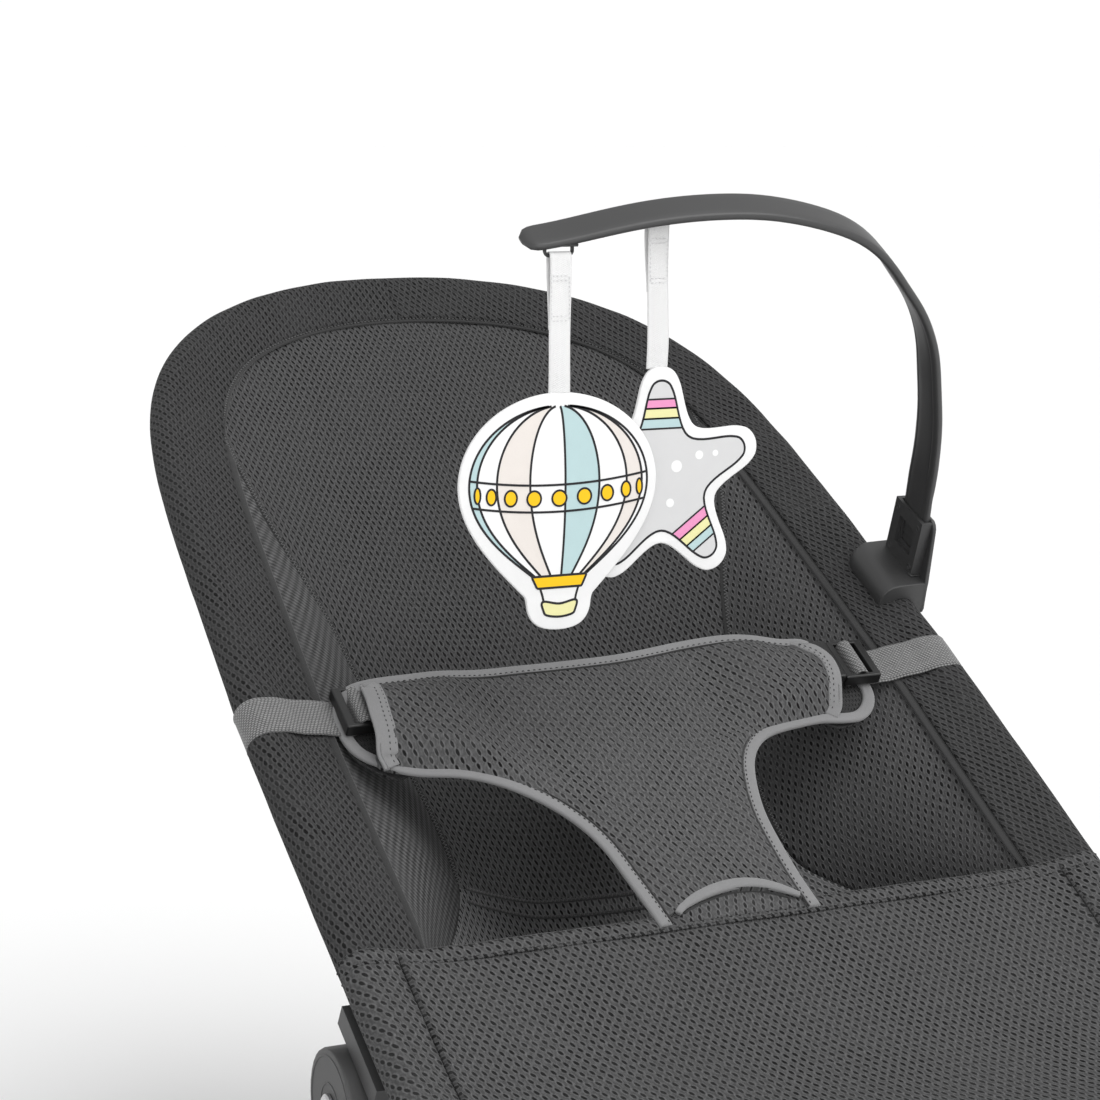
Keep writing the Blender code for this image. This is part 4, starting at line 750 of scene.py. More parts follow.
def zigzag(name, path, up, mat, half=0.0010, pitch=0.0021, r=0.00024, lift=0.0002):
    """A zigzag thread across a seam."""
    path = resample(path, pitch / 2)
    t, side, normal = frames(path, up)
    k = np.where(np.arange(len(path)) % 2 == 0, 1.0, -1.0)[:, None]
    pts = path + side * half * k + normal * lift
    mids = (pts[:-1] + pts[1:]) / 2 + (normal[:-1] + normal[1:]) / 2 * 0.00012
    line = np.empty((len(pts) * 2 - 1, 3))
    line[0::2], line[1::2] = pts, mids
    return sweep(name, line, (normal[0] if np.ndim(up) == 1 else np.repeat(normal, 2, axis=0)[:len(line)]), ring(r, 5), mat, angle=180)


def curve_tube(name, pts, r, mat, sides=20, up=(0, 0, 1)):
    return sweep(name, pts, up, ring(r, sides), mat, angle=60)


def place(o, body, *replaced, slot=None):
    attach(o, body)
    if replaced:
        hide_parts(*replaced)
    return o


def wobble(P, scale, amount, seed=0.0, normal=None):
    """Small smooth noise along a direction, the same each run."""
    flat = P.reshape(-1, 3)
    out = np.array([noise.noise(Vector((p[0] * scale + seed, p[1] * scale, p[2] * scale))) for p in flat])
    n = E_N if normal is None else normal
    return P + (out[:, None] * amount * n).reshape(P.shape)

# --------------------------------------------------------------- camera, light
TURN, LIFT = math.radians(-24.61), math.radians(9.16)
right = Vector((math.cos(TURN), math.sin(TURN), 0))
upward = Vector((-math.sin(TURN) * math.sin(LIFT), math.cos(TURN) * math.sin(LIFT), math.cos(LIFT)))
back = Vector((math.sin(TURN) * math.cos(LIFT), -math.cos(TURN) * math.cos(LIFT), math.sin(LIFT)))
cam_data = bpy.data.cameras.new("camera")
cam_data.sensor_width = 36.0
cam_data.lens = 36.0 * 2683.0 / 1100.0
cam_data.clip_start, cam_data.clip_end = 0.05, 200.0
camera = bpy.data.objects.new("camera", cam_data)
camera.matrix_world = Matrix(((right.x, upward.x, back.x, -0.60257), (right.y, upward.y, back.y, -1.20642),
                              (right.z, upward.z, back.z, 0.63944), (0, 0, 0, 1)))
collection.objects.link(camera)
scene.camera = camera

floor_mat = Mat("floor", (0.86, 0.86, 0.86), 0.75, specular=0.2)
fn = floor_mat.noise(floor_mat.obj(), 3.0, 3.0)
floor_mat.colour(floor_mat.scale_colour((0.86, 0.86, 0.86), floor_mat.math("ADD", 0.99, floor_mat.math("MULTIPLY", fn, 0.02))))
bm = bmesh.new()
bmesh.ops.create_circle(bm, cap_ends=True, segments=96, radius=60.0)
me = bpy.data.meshes.new("floor")
bm.to_mesh(me)
bm.free()
floor = new_object("floor", me, floor_mat.m)
floor.location.z = -0.0002

world = bpy.data.worlds.new("studio")
world.use_nodes = True
wt = world.node_tree
wc = wt.nodes.new("ShaderNodeTexCoord")
ws = wt.nodes.new("ShaderNodeSeparateXYZ")
wr = wt.nodes.new("ShaderNodeMapRange")
wt.links.new(wc.outputs["Generated"], ws.inputs[0])
wt.links.new(ws.outputs[2], wr.inputs["Value"])
for key, value in (("From Min", 0.10), ("From Max", 0.30), ("To Min", 1.03), ("To Max", 0.66)):
    wr.inputs[key].default_value = value
wt.links.new(wr.outputs[0], wt.nodes["Background"].inputs[1])
wt.nodes["Background"].inputs[0].default_value = (1.0, 1.0, 1.0, 1.0)
scene.world = world


def area_light(name, place_at, target, size, power, size_y=None):
    li = bpy.data.lights.new(name, "AREA")
    li.shape = "RECTANGLE"
    li.size, li.size_y = size, size_y or size
    li.energy = power
    o = bpy.data.objects.new(name, li)
    o.location = place_at
    o.rotation_euler = (Vector(target) - Vector(place_at)).to_track_quat("-Z", "Y").to_euler()
    collection.objects.link(o)
    return o


sun_data = bpy.data.lights.new("key", "SUN")
sun_data.energy = 2.05
sun_data.angle = math.radians(55)
sun = bpy.data.objects.new("key", sun_data)
az, el = math.radians(35), math.radians(55)
sun.rotation_euler = (-Vector((math.sin(az) * math.cos(el), -math.cos(az) * math.cos(el), math.sin(el)))).to_track_quat("-Z", "Y").to_euler()
collection.objects.link(sun)
area_light("front", (-0.7, -2.4, 0.9), (0, 0.0, 0.30), 1.5, 16)

# -------------------------------------------------------------- border sleeves


def roll(lo, hi, count, r=SLEEVE_R):
    a = np.radians(np.linspace(lo, hi, count))
    return np.stack([r * np.cos(a), r * np.sin(a)], 1)


PRESSED = [(-0.0305, 0.0018), (-0.0270, 0.0019), (-0.0235, 0.0021), (-0.0200, 0.0024), (-0.0165, 0.0030), (-0.0138, 0.0044),
           (-0.0112, 0.0059), (-0.0085, 0.0075), (-0.0060, 0.0084)]
TAUT = [(-0.0305, 0.0024), (-0.0270, 0.0032), (-0.0235, 0.0041), (-0.0200, 0.0048), (-0.0165, 0.0056), (-0.0138, 0.0063),
        (-0.0112, 0.0071), (-0.0085, 0.0079), (-0.0060, 0.0085)]


def sleeve_profile(k, lower=True):
    """Closed-off profile of the sleeve from its upper seam round the tube to its lower seam; k 0 pressed, 1 taut."""
    top = np.array(PRESSED) * (1 - k) + np.array(TAUT) * k
    under = np.array(PRESSED)[::-1] * (1, -1)
    body = roll(116, -116, 23)
    if not lower:
        return np.concatenate([top, roll(116, -62, 19)])
    return np.concatenate([top, body, under])


def sleeve_grid(line, k_of, lower=True, extra=0.0):
    m = normals2(line)
    P, UV = [], []
    for (x, s), (mx, ms) in zip(line, m):
        prof = sleeve_profile(k_of(x, s), lower)
        if extra:
            prof = prof * 1.0
        P.append(at(x + prof[:, 0] * mx, s + prof[:, 0] * ms, prof[:, 1]))
        run = np.concatenate([[0], np.cumsum(np.linalg.norm(np.diff(prof, axis=0), axis=1))]) - 0.0305
        UV.append(np.stack([x + run * mx, s + run * ms], 1))
    return np.array(P), np.array(UV)


def tautness(x, s):
    """The fabric is pressed down where the waist straps cross it and where the clip sits."""
    k = 1.0 - math.exp(-((s - STRAP_S) / 0.034) ** 2)
    if x > 0:
        k *= 1.0 - 0.8 * math.exp(-((s - 0.060) / 0.030) ** 2)
    return k


def rumple(P, amount, scale, seed):
    n = np.array([noise.noise(Vector((p[0] * scale + seed, p[1] * scale, p[2] * scale))) for p in P.reshape(-1, 3)]).reshape(P.shape[:2])
    return P + (n * amount)[..., None] * E_N


line = resample(head_line, 0.0040)
joint = int(np.argmin(np.abs(line[:, 0] + 0.008) + np.where(line[:, 1] > 0.3, 0, 9)))
for tag, part_line, turn in (("right", line[:joint + 1], -0.16), ("left", line[joint:], 0.20)):
    P, UV = sleeve_grid(part_line, tautness)
    P = rumple(P, 0.0005, 45.0, 3.0)
    o = cloth("border_" + tag, P, M["border"], UV, 0.0011, 1.0, turn=turn, angle=80)
    place(o, "seat", slot="border_fabric")
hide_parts("border_sleeve")

# joint seam across the border at the top: a folded ridge and a groove
x0, s0 = line[joint]
mx, ms = normals2(line)[joint]
prof = sleeve_profile(tautness(x0, s0))[2:36]
path = at(x0 + prof[:, 0] * mx, s0 + prof[:, 0] * ms, prof[:, 1])
centre = at(x0 + 0 * prof[:, 0], s0 + 0 * prof[:, 0], 0 * prof[:, 0])
up = path - centre
up[:8] = E_N
o = sweep("border_joint_seam", path + np.array((0.0004, 0, 0)), up / np.linalg.norm(up, axis=1, keepdims=True), stadium(0.0022, 0.0009), M["tape_dark"])
place(o, "seat", slot="border_fabric")
o = stitch_row("border_joint_stitches", path + np.array((0.0032, 0, 0)), up / np.linalg.norm(up, axis=1, keepdims=True), M["thread_dark"], 0.0022, 0.0010, 0.00020, 0.0001)
place(o, "seat", slot="border_fabric")

# foot end: the same sleeve, open below
fline = resample(foot_line, 0.0040)
P, UV = sleeve_grid(fline, lambda x, s: 1.0, lower=False)
P = rumple(P, 0.0004, 45.0, 8.0)
foot_border = cloth("foot_border", P, M["front"], UV, 0.0011, 1.0, angle=80)
place(foot_border, "seat", "foot_sleeve", slot="front_mesh")

# ---------------------------------------------------------------------- sling
SIDE_SEAM = np.array(((0.2400, 0.1490, 0.0002), (0.2100, 0.1465, 0.0024), (0.1700, 0.1415, 0.0075), (0.1460, 0.1350, 0.0150),
                      (0.1200, 0.1262, 0.0245), (0.1000, 0.1200, 0.0325), (0.0800, 0.1153, 0.0405), (0.0500, 0.1085, 0.0505),
                      (0.0200, 0.1020, 0.0585), (-0.0100, 0.0965, 0.0650), (-0.0350, 0.0945, 0.0690), (-0.0600, 0.0950, 0.0725)))
SEAM_LOW = -0.0600
seam_curve = smooth_through(SIDE_SEAM, 160)
seam_curve[:, 0] = np.minimum.accumulate(seam_curve[:, 0])


def side_seam(s, col):
    return np.interp(s, seam_curve[::-1, 0], seam_curve[::-1, col])


def centre_depth(s):
    return 0.095 * np.maximum((0.334 - s) / 0.394, 0.0) ** 1.35


inner_line = offset2(head_outline, -BAND)                 # the sleeve's seam, right side first
half_inner = inner_line[: len(inner_line) // 2 + 1]
upper = half_inner[half_inner[:, 1] > 0.2405]
tail_s = np.linspace(0.2380, SEAM_LOW, 110)
edge = np.concatenate([upper[::-1], np.stack([side_seam(tail_s, 1), tail_s], 1)])
edge[0, 0] = max(edge[0, 0], 0.0)
edge = soften(resample(edge, 0.0028), 6)
COLS = 129
f = np.linspace(-1, 1, COLS)
rows = []
for w, s in edge:
    ed = float(side_seam(min(s, 0.24), 2)) if s < 0.24 else 0.0
    cd = float(centre_depth(s))
    wide = w + 0.0015 * (1 if s > 0.245 else 0)
    n = -cd + (cd - ed) * np.abs(f) ** 2.5
    rows.append(at(wide * f, s, n))
P = np.array(rows)
uv = arc_uv(P)
run = np.concatenate([[0], np.cumsum(np.linalg.norm(np.diff(P[:, COLS // 2], axis=0), axis=1))])
uv[..., 1] = run[:, None]
P = rumple(P, 0.0012, 22.0, 1.0)
P = rumple(P, 0.0004, 70.0, 5.0)
back = cloth("back_fabric", P, M["back"], uv, 0.0022, 0.0, angle=80)
place(back, "seat", "back_panel", slot="back_mesh")


def bezier(points, t):
    p = np.asarray(points, float)
    t = np.asarray(t, float)[..., None]
    k = 1 - t
    return k ** 3 * p[0] + 3 * k * k * t * p[1] + 3 * k * t * t * p[2] + t ** 3 * p[3]


SEAT_CENTRE = ((SEAM_LOW, -0.0955), (-0.085, -0.112), (-0.135, -0.105), (HEM + 0.001, -0.0045))
SEAT_EDGE = ((0.0950, SEAM_LOW, -0.0725), (0.098, -0.082, -0.080), (0.136, -0.130, -0.066), (0.1600, HEM + 0.001, -0.0045))
t = np.linspace(0.0, 0.985, 96)
c = bezier(SEAT_CENTRE, t)
e = bezier(SEAT_EDGE, t)
k = np.abs(f)[None, :] ** 2.5
P = at(e[:, :1] * f[None, :], c[:, :1] + (e[:, 1:2] - c[:, :1]) * k, c[:, 1:2] + (e[:, 2:3] - c[:, 1:2]) * k)
uv = arc_uv(P)
P = rumple(P, 0.0016, 30.0, 2.0)
pocket = cloth("pocket_fabric", P, M["pocket"], uv, 0.0022, 0.0, angle=80)
place(pocket, "seat", "seat_panel", slot="back_mesh")
pocket_P = P

# side gussets
outer_line = offset2(head_outline, -(BAND + 0.0004))
half_outer = outer_line[: len(outer_line) // 2]
order = np.argsort(half_outer[:, 1])


def sleeve_edge_x(s):
    ok = half_outer[order]
    ok = ok[ok[:, 1] < 0.27]
    return np.interp(s, ok[:, 1], ok[:, 0])


gs = np.concatenate([np.linspace(0.236, SEAM_LOW, 110), bezier(SEAT_EDGE, np.linspace(0.02, 0.985, 60))[:, 1]])
gi = np.concatenate([np.stack([side_seam(gs[:110], 1), gs[:110], -side_seam(gs[:110], 2)], 1), bezier(SEAT_EDGE, np.linspace(0.02, 0.985, 60))])
GF = np.linspace(0, 1, 29)
for side, tag in ((-1, "left"), (1, "right")):
    rows = []
    for j, (w, s, n) in enumerate(gi):
        so = max(s, HEM + 0.003)
        xo = max(float(sleeve_edge_x(so)), w + 0.0002)
        span = math.hypot(xo - w, n)
        bulge = 0.10 * span * np.sin(math.pi * GF) ** 1.0 * (0.6 + 0.4 * GF)
        nx, nn_ = -n / max(span, 1e-6), (xo - w) / max(span, 1e-6)
        x = w + (xo - w) * GF - bulge * nx * 0.6
        h = n + (0.0008 - n) * GF + bulge * nn_ * 0.6
        rows.append(at(side * x, s + (so - s) * GF, h))
    P = np.array(rows)
    uv = arc_uv(P, 28)
    P = rumple(P, 0.0010, 28.0, 4.0 + side)
    o = cloth("gusset_fabric_" + tag, P, M["gusset_" + tag] if "gusset_" + tag in M else M["back"], uv, 0.0016, 0.0, angle=80)
    place(o, "seat", "side_gusset_" + tag, slot="ribbed_fabric")

# stitched seam round the back panel, and the fine dark seam along the sleeve
seam3 = []
for w, s in edge:
    ed = float(side_seam(min(s, 0.24), 2)) if s < 0.24 else -0.0004
    seam3.append((w, s, -ed))
seam3 = soften(np.array(seam3), 8)
full = np.concatenate([seam3[::-1], (seam3 * (-1, 1, 1))[1:]])
full = resample(full, 0.0020)
path = at(full[:, 0], full[:, 1], full[:, 2] + 0.0022)
o = sweep("back_seam_fold", path - 0.0008 * E_N, E_N, stadium(0.0050, 0.0013), M["seam_cloth"], angle=180,
          scale=np.clip(np.minimum(np.arange(len(path)), np.arange(len(path))[::-1]) / 7.0, 0.10, 1.0))
place(o, "seat", slot="border_fabric")
o = zigzag("back_seam_zigzag", path + 0.0004 * E_N, E_N, M["thread"], 0.0010, 0.0023, 0.00021, 0.0)
place(o, "seat", slot="border_fabric")
for side, tag in ((-1, "left"), (1, "right")):
    s = np.linspace(0.225, HEM, 160)
    x = sleeve_edge_x(s) + 0.0001
    path = at(side * x, s, 0.0019 + 0 * s)
    o = sweep("sleeve_under_" + tag, at(side * (x - 0.0014), s, 0.0012 + 0 * s), E_N, stadium(0.0060, 0.0016), M["seam_cloth"], angle=180,
              scale=np.clip(np.minimum(np.arange(len(s)), np.arange(len(s))[::-1]) / 8.0, 0.10, 1.0))
    place(o, "seat", slot="border_fabric")
    o = sweep("sleeve_seam_" + tag, path, E_N, stadium(0.0007, 0.0006), M["seam_dark"], angle=180)
    place(o, "seat", slot="border_fabric")
    o = sweep("sleeve_edge_" + tag, at(side * (x + 0.0022), s, 0.0018 + 0 * s), E_N, stadium(0.0044, 0.0011), M["seam_cloth"], angle=180,
              scale=np.clip(np.minimum(np.arange(len(s)), np.arange(len(s))[::-1]) / 8.0, 0.10, 1.0))
    place(o, "seat", slot="border_fabric")

# seams in the pocket: a doubled cross seam between back panel and seat panel
for j, (row, name, r) in enumerate(((0, "pocket_seam_upper", 0.00075), (9, "pocket_seam_lower", 0.00060))):
    path = pocket_P[row, 3:-3] + 0.0016 * E_N
    o = sweep(name, path, E_N, stadium(0.0022, 0.0011), M["tape_dark"], angle=180)
    place(o, "seat", slot="back_mesh")
    o = zigzag(name + "_zigzag", path + 0.0006 * E_N, E_N, M["thread"], 0.0009, 0.0024, 0.00020, 0.0)
    place(o, "seat", slot="back_mesh")

# ---------------------------------------------------------------- front panel
fhalf = foot_outline[: len(foot_outline) // 2 + 1] * (-1, 1)
fedge = offset2(foot_outline, -(ROLL_R + 0.0170))
fedge = fedge[: len(fedge) // 2 + 1]
fedge = np.stack([np.abs(fedge[:, 0]), fedge[:, 1]], 1)
fedge = resample(soften(fedge, 10), 0.0035)
rows = []
for w, s in fedge:
    sag = 0.0040 * min(1.0, max(0.0, (HEM - s) / 0.05))
    g = np.linspace(-1, 1, 97)
    d = (1 - np.abs(g)) * w
    n = 0.0020 + 0.0044 * np.exp(-d / 0.014) - sag * (1 - g * g)
    rows.append(at(w * g, s, n))
P = rumple(np.array(rows), 0.0010, 26.0, 6.0)
uv = np.stack([np.array([g * w for w, s in fedge]), np.broadcast_to(fedge[:, 1:2], (len(fedge), 97))], -1)
front = cloth("front_fabric", P, M["front"], uv, 0.0020, 0.0, angle=80)
place(front, "seat", "front_panel", slot="front_mesh")
path = np.array([r[0] for r in P] + [r[-1] for r in P[::-1]])
path = path + 0.0012 * E_N
o = sweep("front_seam", resample(path, 0.003), E_N, stadium(0.0022, 0.0012), M["border"], angle=180)
place(o, "seat", slot="front_mesh")

# hem across the front, wrapped round both tubes: a doubled band with two stitch rows


def hem_path(s):
    """Across the seat at s: from under the left tube over the top to under the right one."""
    w = float(half_width(s)) - ROLL_R
    prof = np.concatenate([roll(-70, 108, 24, SLEEVE_R + 0.0006), np.array([(-0.0058, 0.0090), (-0.0090, 0.0084), (-0.0140, 0.0072), (-0.0200, 0.0060), (-0.0290, 0.0040)])])
    rt = np.stack([w + prof[:, 0], prof[:, 1]], 1)
    mid = np.stack([np.linspace(w - 0.033, -(w - 0.033), 70), np.full(70, 0.0034)], 1)
    return np.concatenate([rt, mid, (rt * (-1, 1))[::-1]])


rows = []
for i, s in enumerate(np.linspace(HEM + 0.0044, HEM - 0.0046, 10)):
    q = resample(hem_path(s), 0.0040)
    rise = 0.0006 * math.sin(math.pi * i / 9)
    if i and len(q) != len(rows[0]):
        run = np.linspace(0, 1, len(q))
        want = np.linspace(0, 1, len(rows[0]))
        q = np.stack([np.interp(want, run, q[:, 0]), np.interp(want, run, q[:, 1])], 1)
    rows.append(at(q[:, 0], s, q[:, 1] + rise))
P = np.array(rows)
uv = arc_uv(P)
P = rumple(P, 0.0006, 60.0, 7.0)
hem = cloth("front_hem", P, M["hem"] if "hem" in M else M["front"], uv, 0.0012, 0.0, angle=80)
place(hem, "seat", slot="front_mesh")
for i, row in enumerate((1, 8)):
    lift = np.gradient(P[row], axis=0)
    out = np.cross(lift, E_S)
    out /= np.linalg.norm(out, axis=1, keepdims=True)
    out *= np.sign((out @ E_N)[len(out) // 2])
    o = stitch_row("hem_stitches_%d" % i, P[row] + out * 0.0008, out, M["thread_dark"], 0.0026, 0.0012, 0.00022, 0.0)
    place(o, "seat", slot="front_mesh")

# --------------------------------------------------------------------- harness
LEFT_EDGE = [(-0.1420, 0.0070), (-0.1431, 0.0000), (-0.1442, -0.0100), (-0.1455, -0.0210), (-0.1464, -0.0330), (-0.1468, -0.0460),
             (-0.1280, -0.0535), (-0.1119, -0.0561), (-0.0985, -0.0610), (-0.0850, -0.0692), (-0.0715, -0.0820), (-0.0610, -0.0975),
             (-0.0543, -0.1150), (-0.0510, -0.1361), (-0.0480, -0.1557), (-0.0466, -0.1690)]
RIGHT_EDGE = [(0.1010, 0.0085), (0.1131, -0.0002), (0.1185, -0.0100), (0.1184, -0.0205), (0.1157, -0.0322), (0.1114, -0.0430),
              (0.0929, -0.0465), (0.0780, -0.0485), (0.0642, -0.0520), (0.0545, -0.0600), (0.0480, -0.0704), (0.0424, -0.0861),
              (0.0382, -0.1048), (0.0370, -0.1255), (0.0370, -0.1489), (0.0385, -0.1690)]
TOP_EDGE = [(-0.1420, 0.0070), (-0.1356, 0.0082), (-0.1254, 0.0088), (-0.1125, 0.0092), (-0.0884, 0.0117), (-0.0636, 0.0150),
            (-0.0338, 0.0155), (-0.0151, 0.0160), (0.0086, 0.0172), (0.0277, 0.0198), (0.0480, 0.0224), (0.0699, 0.0200),
            (0.0883, 0.0140), (0.1010, 0.0085)]


def edge_curve(points, count):
    """Through matched control points, each stretch with the same share of the samples."""
    p = np.asarray(points, float)
    p = np.concatenate([[2 * p[0] - p[1]], p, [2 * p[-1] - p[-2]]])
    out = []
    for t in np.linspace(0, len(points) - 1 - 1e-9, count):
        i, q = int(t), t - int(t)
        a, b, c, d = p[i:i + 4]
        m0, m1 = (c - a) * 0.42, (d - b) * 0.42
        out.append((2 * q ** 3 - 3 * q * q + 1) * b + (q ** 3 - 2 * q * q + q) * m0 + (-2 * q ** 3 + 3 * q * q) * c + (q ** 3 - q * q) * m1)
    return np.array(out)


HR, HC = 141, 121
hl, hr_ = edge_curve(LEFT_EDGE, HR), edge_curve(RIGHT_EDGE, HR)
top_curve = resample(smooth_through(TOP_EDGE, 160), 0.002)
g = np.linspace(0, 1, HC)


def smoothstep(v, lo, hi):
    q = np.clip((np.asarray(v, float) - lo) / (hi - lo), 0, 1)
    return q * q * (3 - 2 * q)


def pad_plan(wide=0.0, arc=True):
    """Plan positions (x, s) of the pad's grid."""
    X = hl[:, :1] * (1 - g) + hr_[:, :1] * g
    S = hl[:, 1:] * (1 - g) + hr_[:, 1:] * g
    rise = np.interp(X[0], top_curve[:, 0], top_curve[:, 1]) - S[0]
    fade = np.clip(1 - np.arange(HR) / (HR * 0.34), 0, 1)[:, None] ** 1.5
    S = S + rise[None, :] * fade
    if arc:
        k = np.clip((np.arange(HR) / (HR - 1.0) - 0.70) / 0.30, 0, 1)[:, None] ** 1.4
        hump = np.clip(1 - ((g - 0.5) / 0.5) ** 2, 0, 1)[None, :] ** 0.8
        S = S + k * hump * 0.0150
    return X, S


def hill(x):
    return smoothstep(np.abs(x - HARNESS_X), 0.052, 0.098)


def edge_height(x, s):
    """Height of the bound edge above the tube plane: the layers meet there."""
    return np.where(s > -0.012, 0.0060 + 0.0072 * hill(x), 0.0045 + 0.0010 * hill(x))


def plan_distance(X, S, line):
    """Distance in plan from each grid point to a polyline."""
    d = np.full(X.shape, 9.0)
    for i in range(0, len(line)):
        d = np.minimum(d, (X - line[i, 0]) ** 2 + (S - line[i, 1]) ** 2)
    return np.sqrt(d)


X, S = pad_plan()
long_edges = np.concatenate([np.stack([X[0], S[0]], 1), resample(hl[46:], 0.0010), resample(hr_[46:], 0.0010)])
long_edges = np.concatenate([resample(np.stack([X[0], S[0]], 1), 0.001), resample(hl[45:], 0.001), resample(hr_[45:], 0.001)])
d = plan_distance(X, S, long_edges)
blend_s = smoothstep(S, -0.030, 0.000)
base = (0.0060 + 0.0072 * hill(X)) * blend_s + (0.0045 + 0.0010 * hill(X)) * (1 - blend_s)
inner_h = 0.0062 + 0.0102 * hill(X)
H = base + (inner_h - base) * smoothstep(d, 0.0, 0.017) + 0.0018 * (1 - np.exp(-d / 0.007))
broad = np.array([noise.noise(Vector((x * 17 + 3, s * 22, 0.5))) for x, s in zip(X.ravel(), S.ravel())]).reshape(X.shape)
H = H + broad * 0.0018 * smoothstep(d, 0.004, 0.03)
top = at(X, S, H)
bottom = at(X, S, np.maximum(H - 0.0034, base * 0.6 + 0.4 * (H - 0.0034)))
climb = np.sqrt(np.diff(S, axis=0) ** 2 + np.diff(H, axis=0) ** 2) - np.abs(np.diff(S, axis=0))
climb = np.concatenate([np.zeros((1, HC)), np.cumsum(climb, axis=0)])
uv = np.stack([X, S - climb], -1)
ang = 0.14
uv = np.stack([uv[..., 0] * math.cos(ang) - uv[..., 1] * math.sin(ang), uv[..., 0] * math.sin(ang) + uv[..., 1] * math.cos(ang)], -1)
pad = shell("harness_pad", top[::-1], bottom[::-1], uv[::-1], M["harness"], angle=70)
place(pad, "seat", "harness_top", slot="harness_mesh")
pad_H, pad_X, pad_S = H, X, S


def pad_height(x, s):
    """Top of the pad near a plan point."""
    k = int(np.argmin((pad_X - x) ** 2 + (pad_S - s) ** 2))
    return float(pad_H.ravel()[k])


# tongue of the crotch tab: the layer that goes on below the arched end
tx = np.linspace(0, 1, 61)
rows = []
for s in np.linspace(-0.1460, -0.1680, 14):
    a = np.interp(-s, -hl[60:, 1], hl[60:, 0])
    b = np.interp(-s, -hr_[60:, 1], hr_[60:, 0])
    x = a + (b - a) * tx
    rows.append(at(x, s, 0.0034 + 0.0010 * np.sin(math.pi * tx)))
P = np.array(rows)
tongue = cloth("harness_tongue", P, M["harness"], None, 0.0016, 0.0, turn=0.14)
place(tongue, "seat", slot="harness_mesh")

# lining: the layer below, longer at both ends, where it cups the buckles
LINING_LEFT = [(-0.1420, 0.0080), (-0.1492, 0.0088), (-0.1550, 0.0040), (-0.1578, -0.0090), (-0.1574, -0.0220), (-0.1545, -0.0330),
               (-0.1480, -0.0420), (-0.1385, -0.0500)]
LINING_RIGHT = [(0.1010, 0.0090), (0.1160, 0.0095), (0.1310, 0.0060), (0.1420, -0.0040), (0.1452, -0.0170), (0.1428, -0.0285),
                (0.1350, -0.0385), (0.1240, -0.0450), (0.1114, -0.0478)]


def lining_height(x, s):
    out = smoothstep(np.abs(x + 0.01425), 0.118, 0.142)
    return edge_height(x, s) * (1 - out) - 0.0010 * (1 - out) - 0.0006 * out


left_end = smooth_through(LINING_LEFT, 60)
right_end = smooth_through(LINING_RIGHT, 70)
lower_left = hl[53:]
lower_right = hr_[52:]
outline_all = np.concatenate([lower_left[::-1], left_end[::-1], top_curve[2:-2], right_end, lower_right])
outline_all = soften(resample(outline_all, 0.0020), 6)

# lining surface: between the pad's lower side and the sleeve, as a fan over its own outline
for tag, end, xin, side in (("left", left_end, -0.098, -1), ("right", right_end, 0.082, 1)):
    q = resample(end, 0.0016)
    rows = []
    for k in np.linspace(0, 1, 30):
        x = xin + (q[:, 0] - xin) * k
        mid = -0.0170
        s = mid + (q[:, 1] - mid) * (0.55 + 0.45 * k)
        n = lining_height(x, s) - 0.0016 * np.sin(math.pi * np.clip(k, 0, 1)) * 0.7
        n = np.minimum(n, -0.0004 + 0.0032 * (1 - smoothstep(side * x, 0.09, 0.125)))
        rows.append(at(x, s, n))
    P = np.array(rows)
    uvl = np.stack([np.broadcast_to(q[None, :, 0], P.shape[:2]) * np.linspace(0, 1, 30)[:, None], np.broadcast_to(q[None, :, 1], P.shape[:2])], -1)
    o = cloth("harness_lining_" + tag, P, M["lining"], uvl, 0.0014, 0.0, angle=80)
    place(o, "seat", *(["harness_lining"] if tag == "left" else []), slot="harness_mesh")


def bound(name, line2, heights, width=0.0068, height=0.0030, mat="tape", slot="harness_mesh", squash=None):
    """Binding tape rolled over an edge, its path given in plan and heights above the tube plane."""
    path = at(line2[:, 0], line2[:, 1], heights)
    o = sweep(name, path, E_N, stadium(width, height, 8), M[mat], angle=180)
    place(o, "seat", slot=slot)
    return path


inset = offset2(outline_all, 0.0024)
if (np.abs(inset[len(inset) // 2, 1]) > np.abs(outline_all[len(inset) // 2, 1])) == (outline_all[len(inset) // 2, 1] > 0):
    inset = offset2(outline_all, -0.0024)
inset = soften(inset, 4)
ends = smoothstep(np.abs(inset[:, 0] + 0.01425), 0.126, 0.146)
hh = edge_height(inset[:, 0], inset[:, 1]) * (1 - ends) + 0.0004 * ends
hh = soften(hh[:, None], 16)[:, 0]
path = bound("harness_binding", inset, hh)
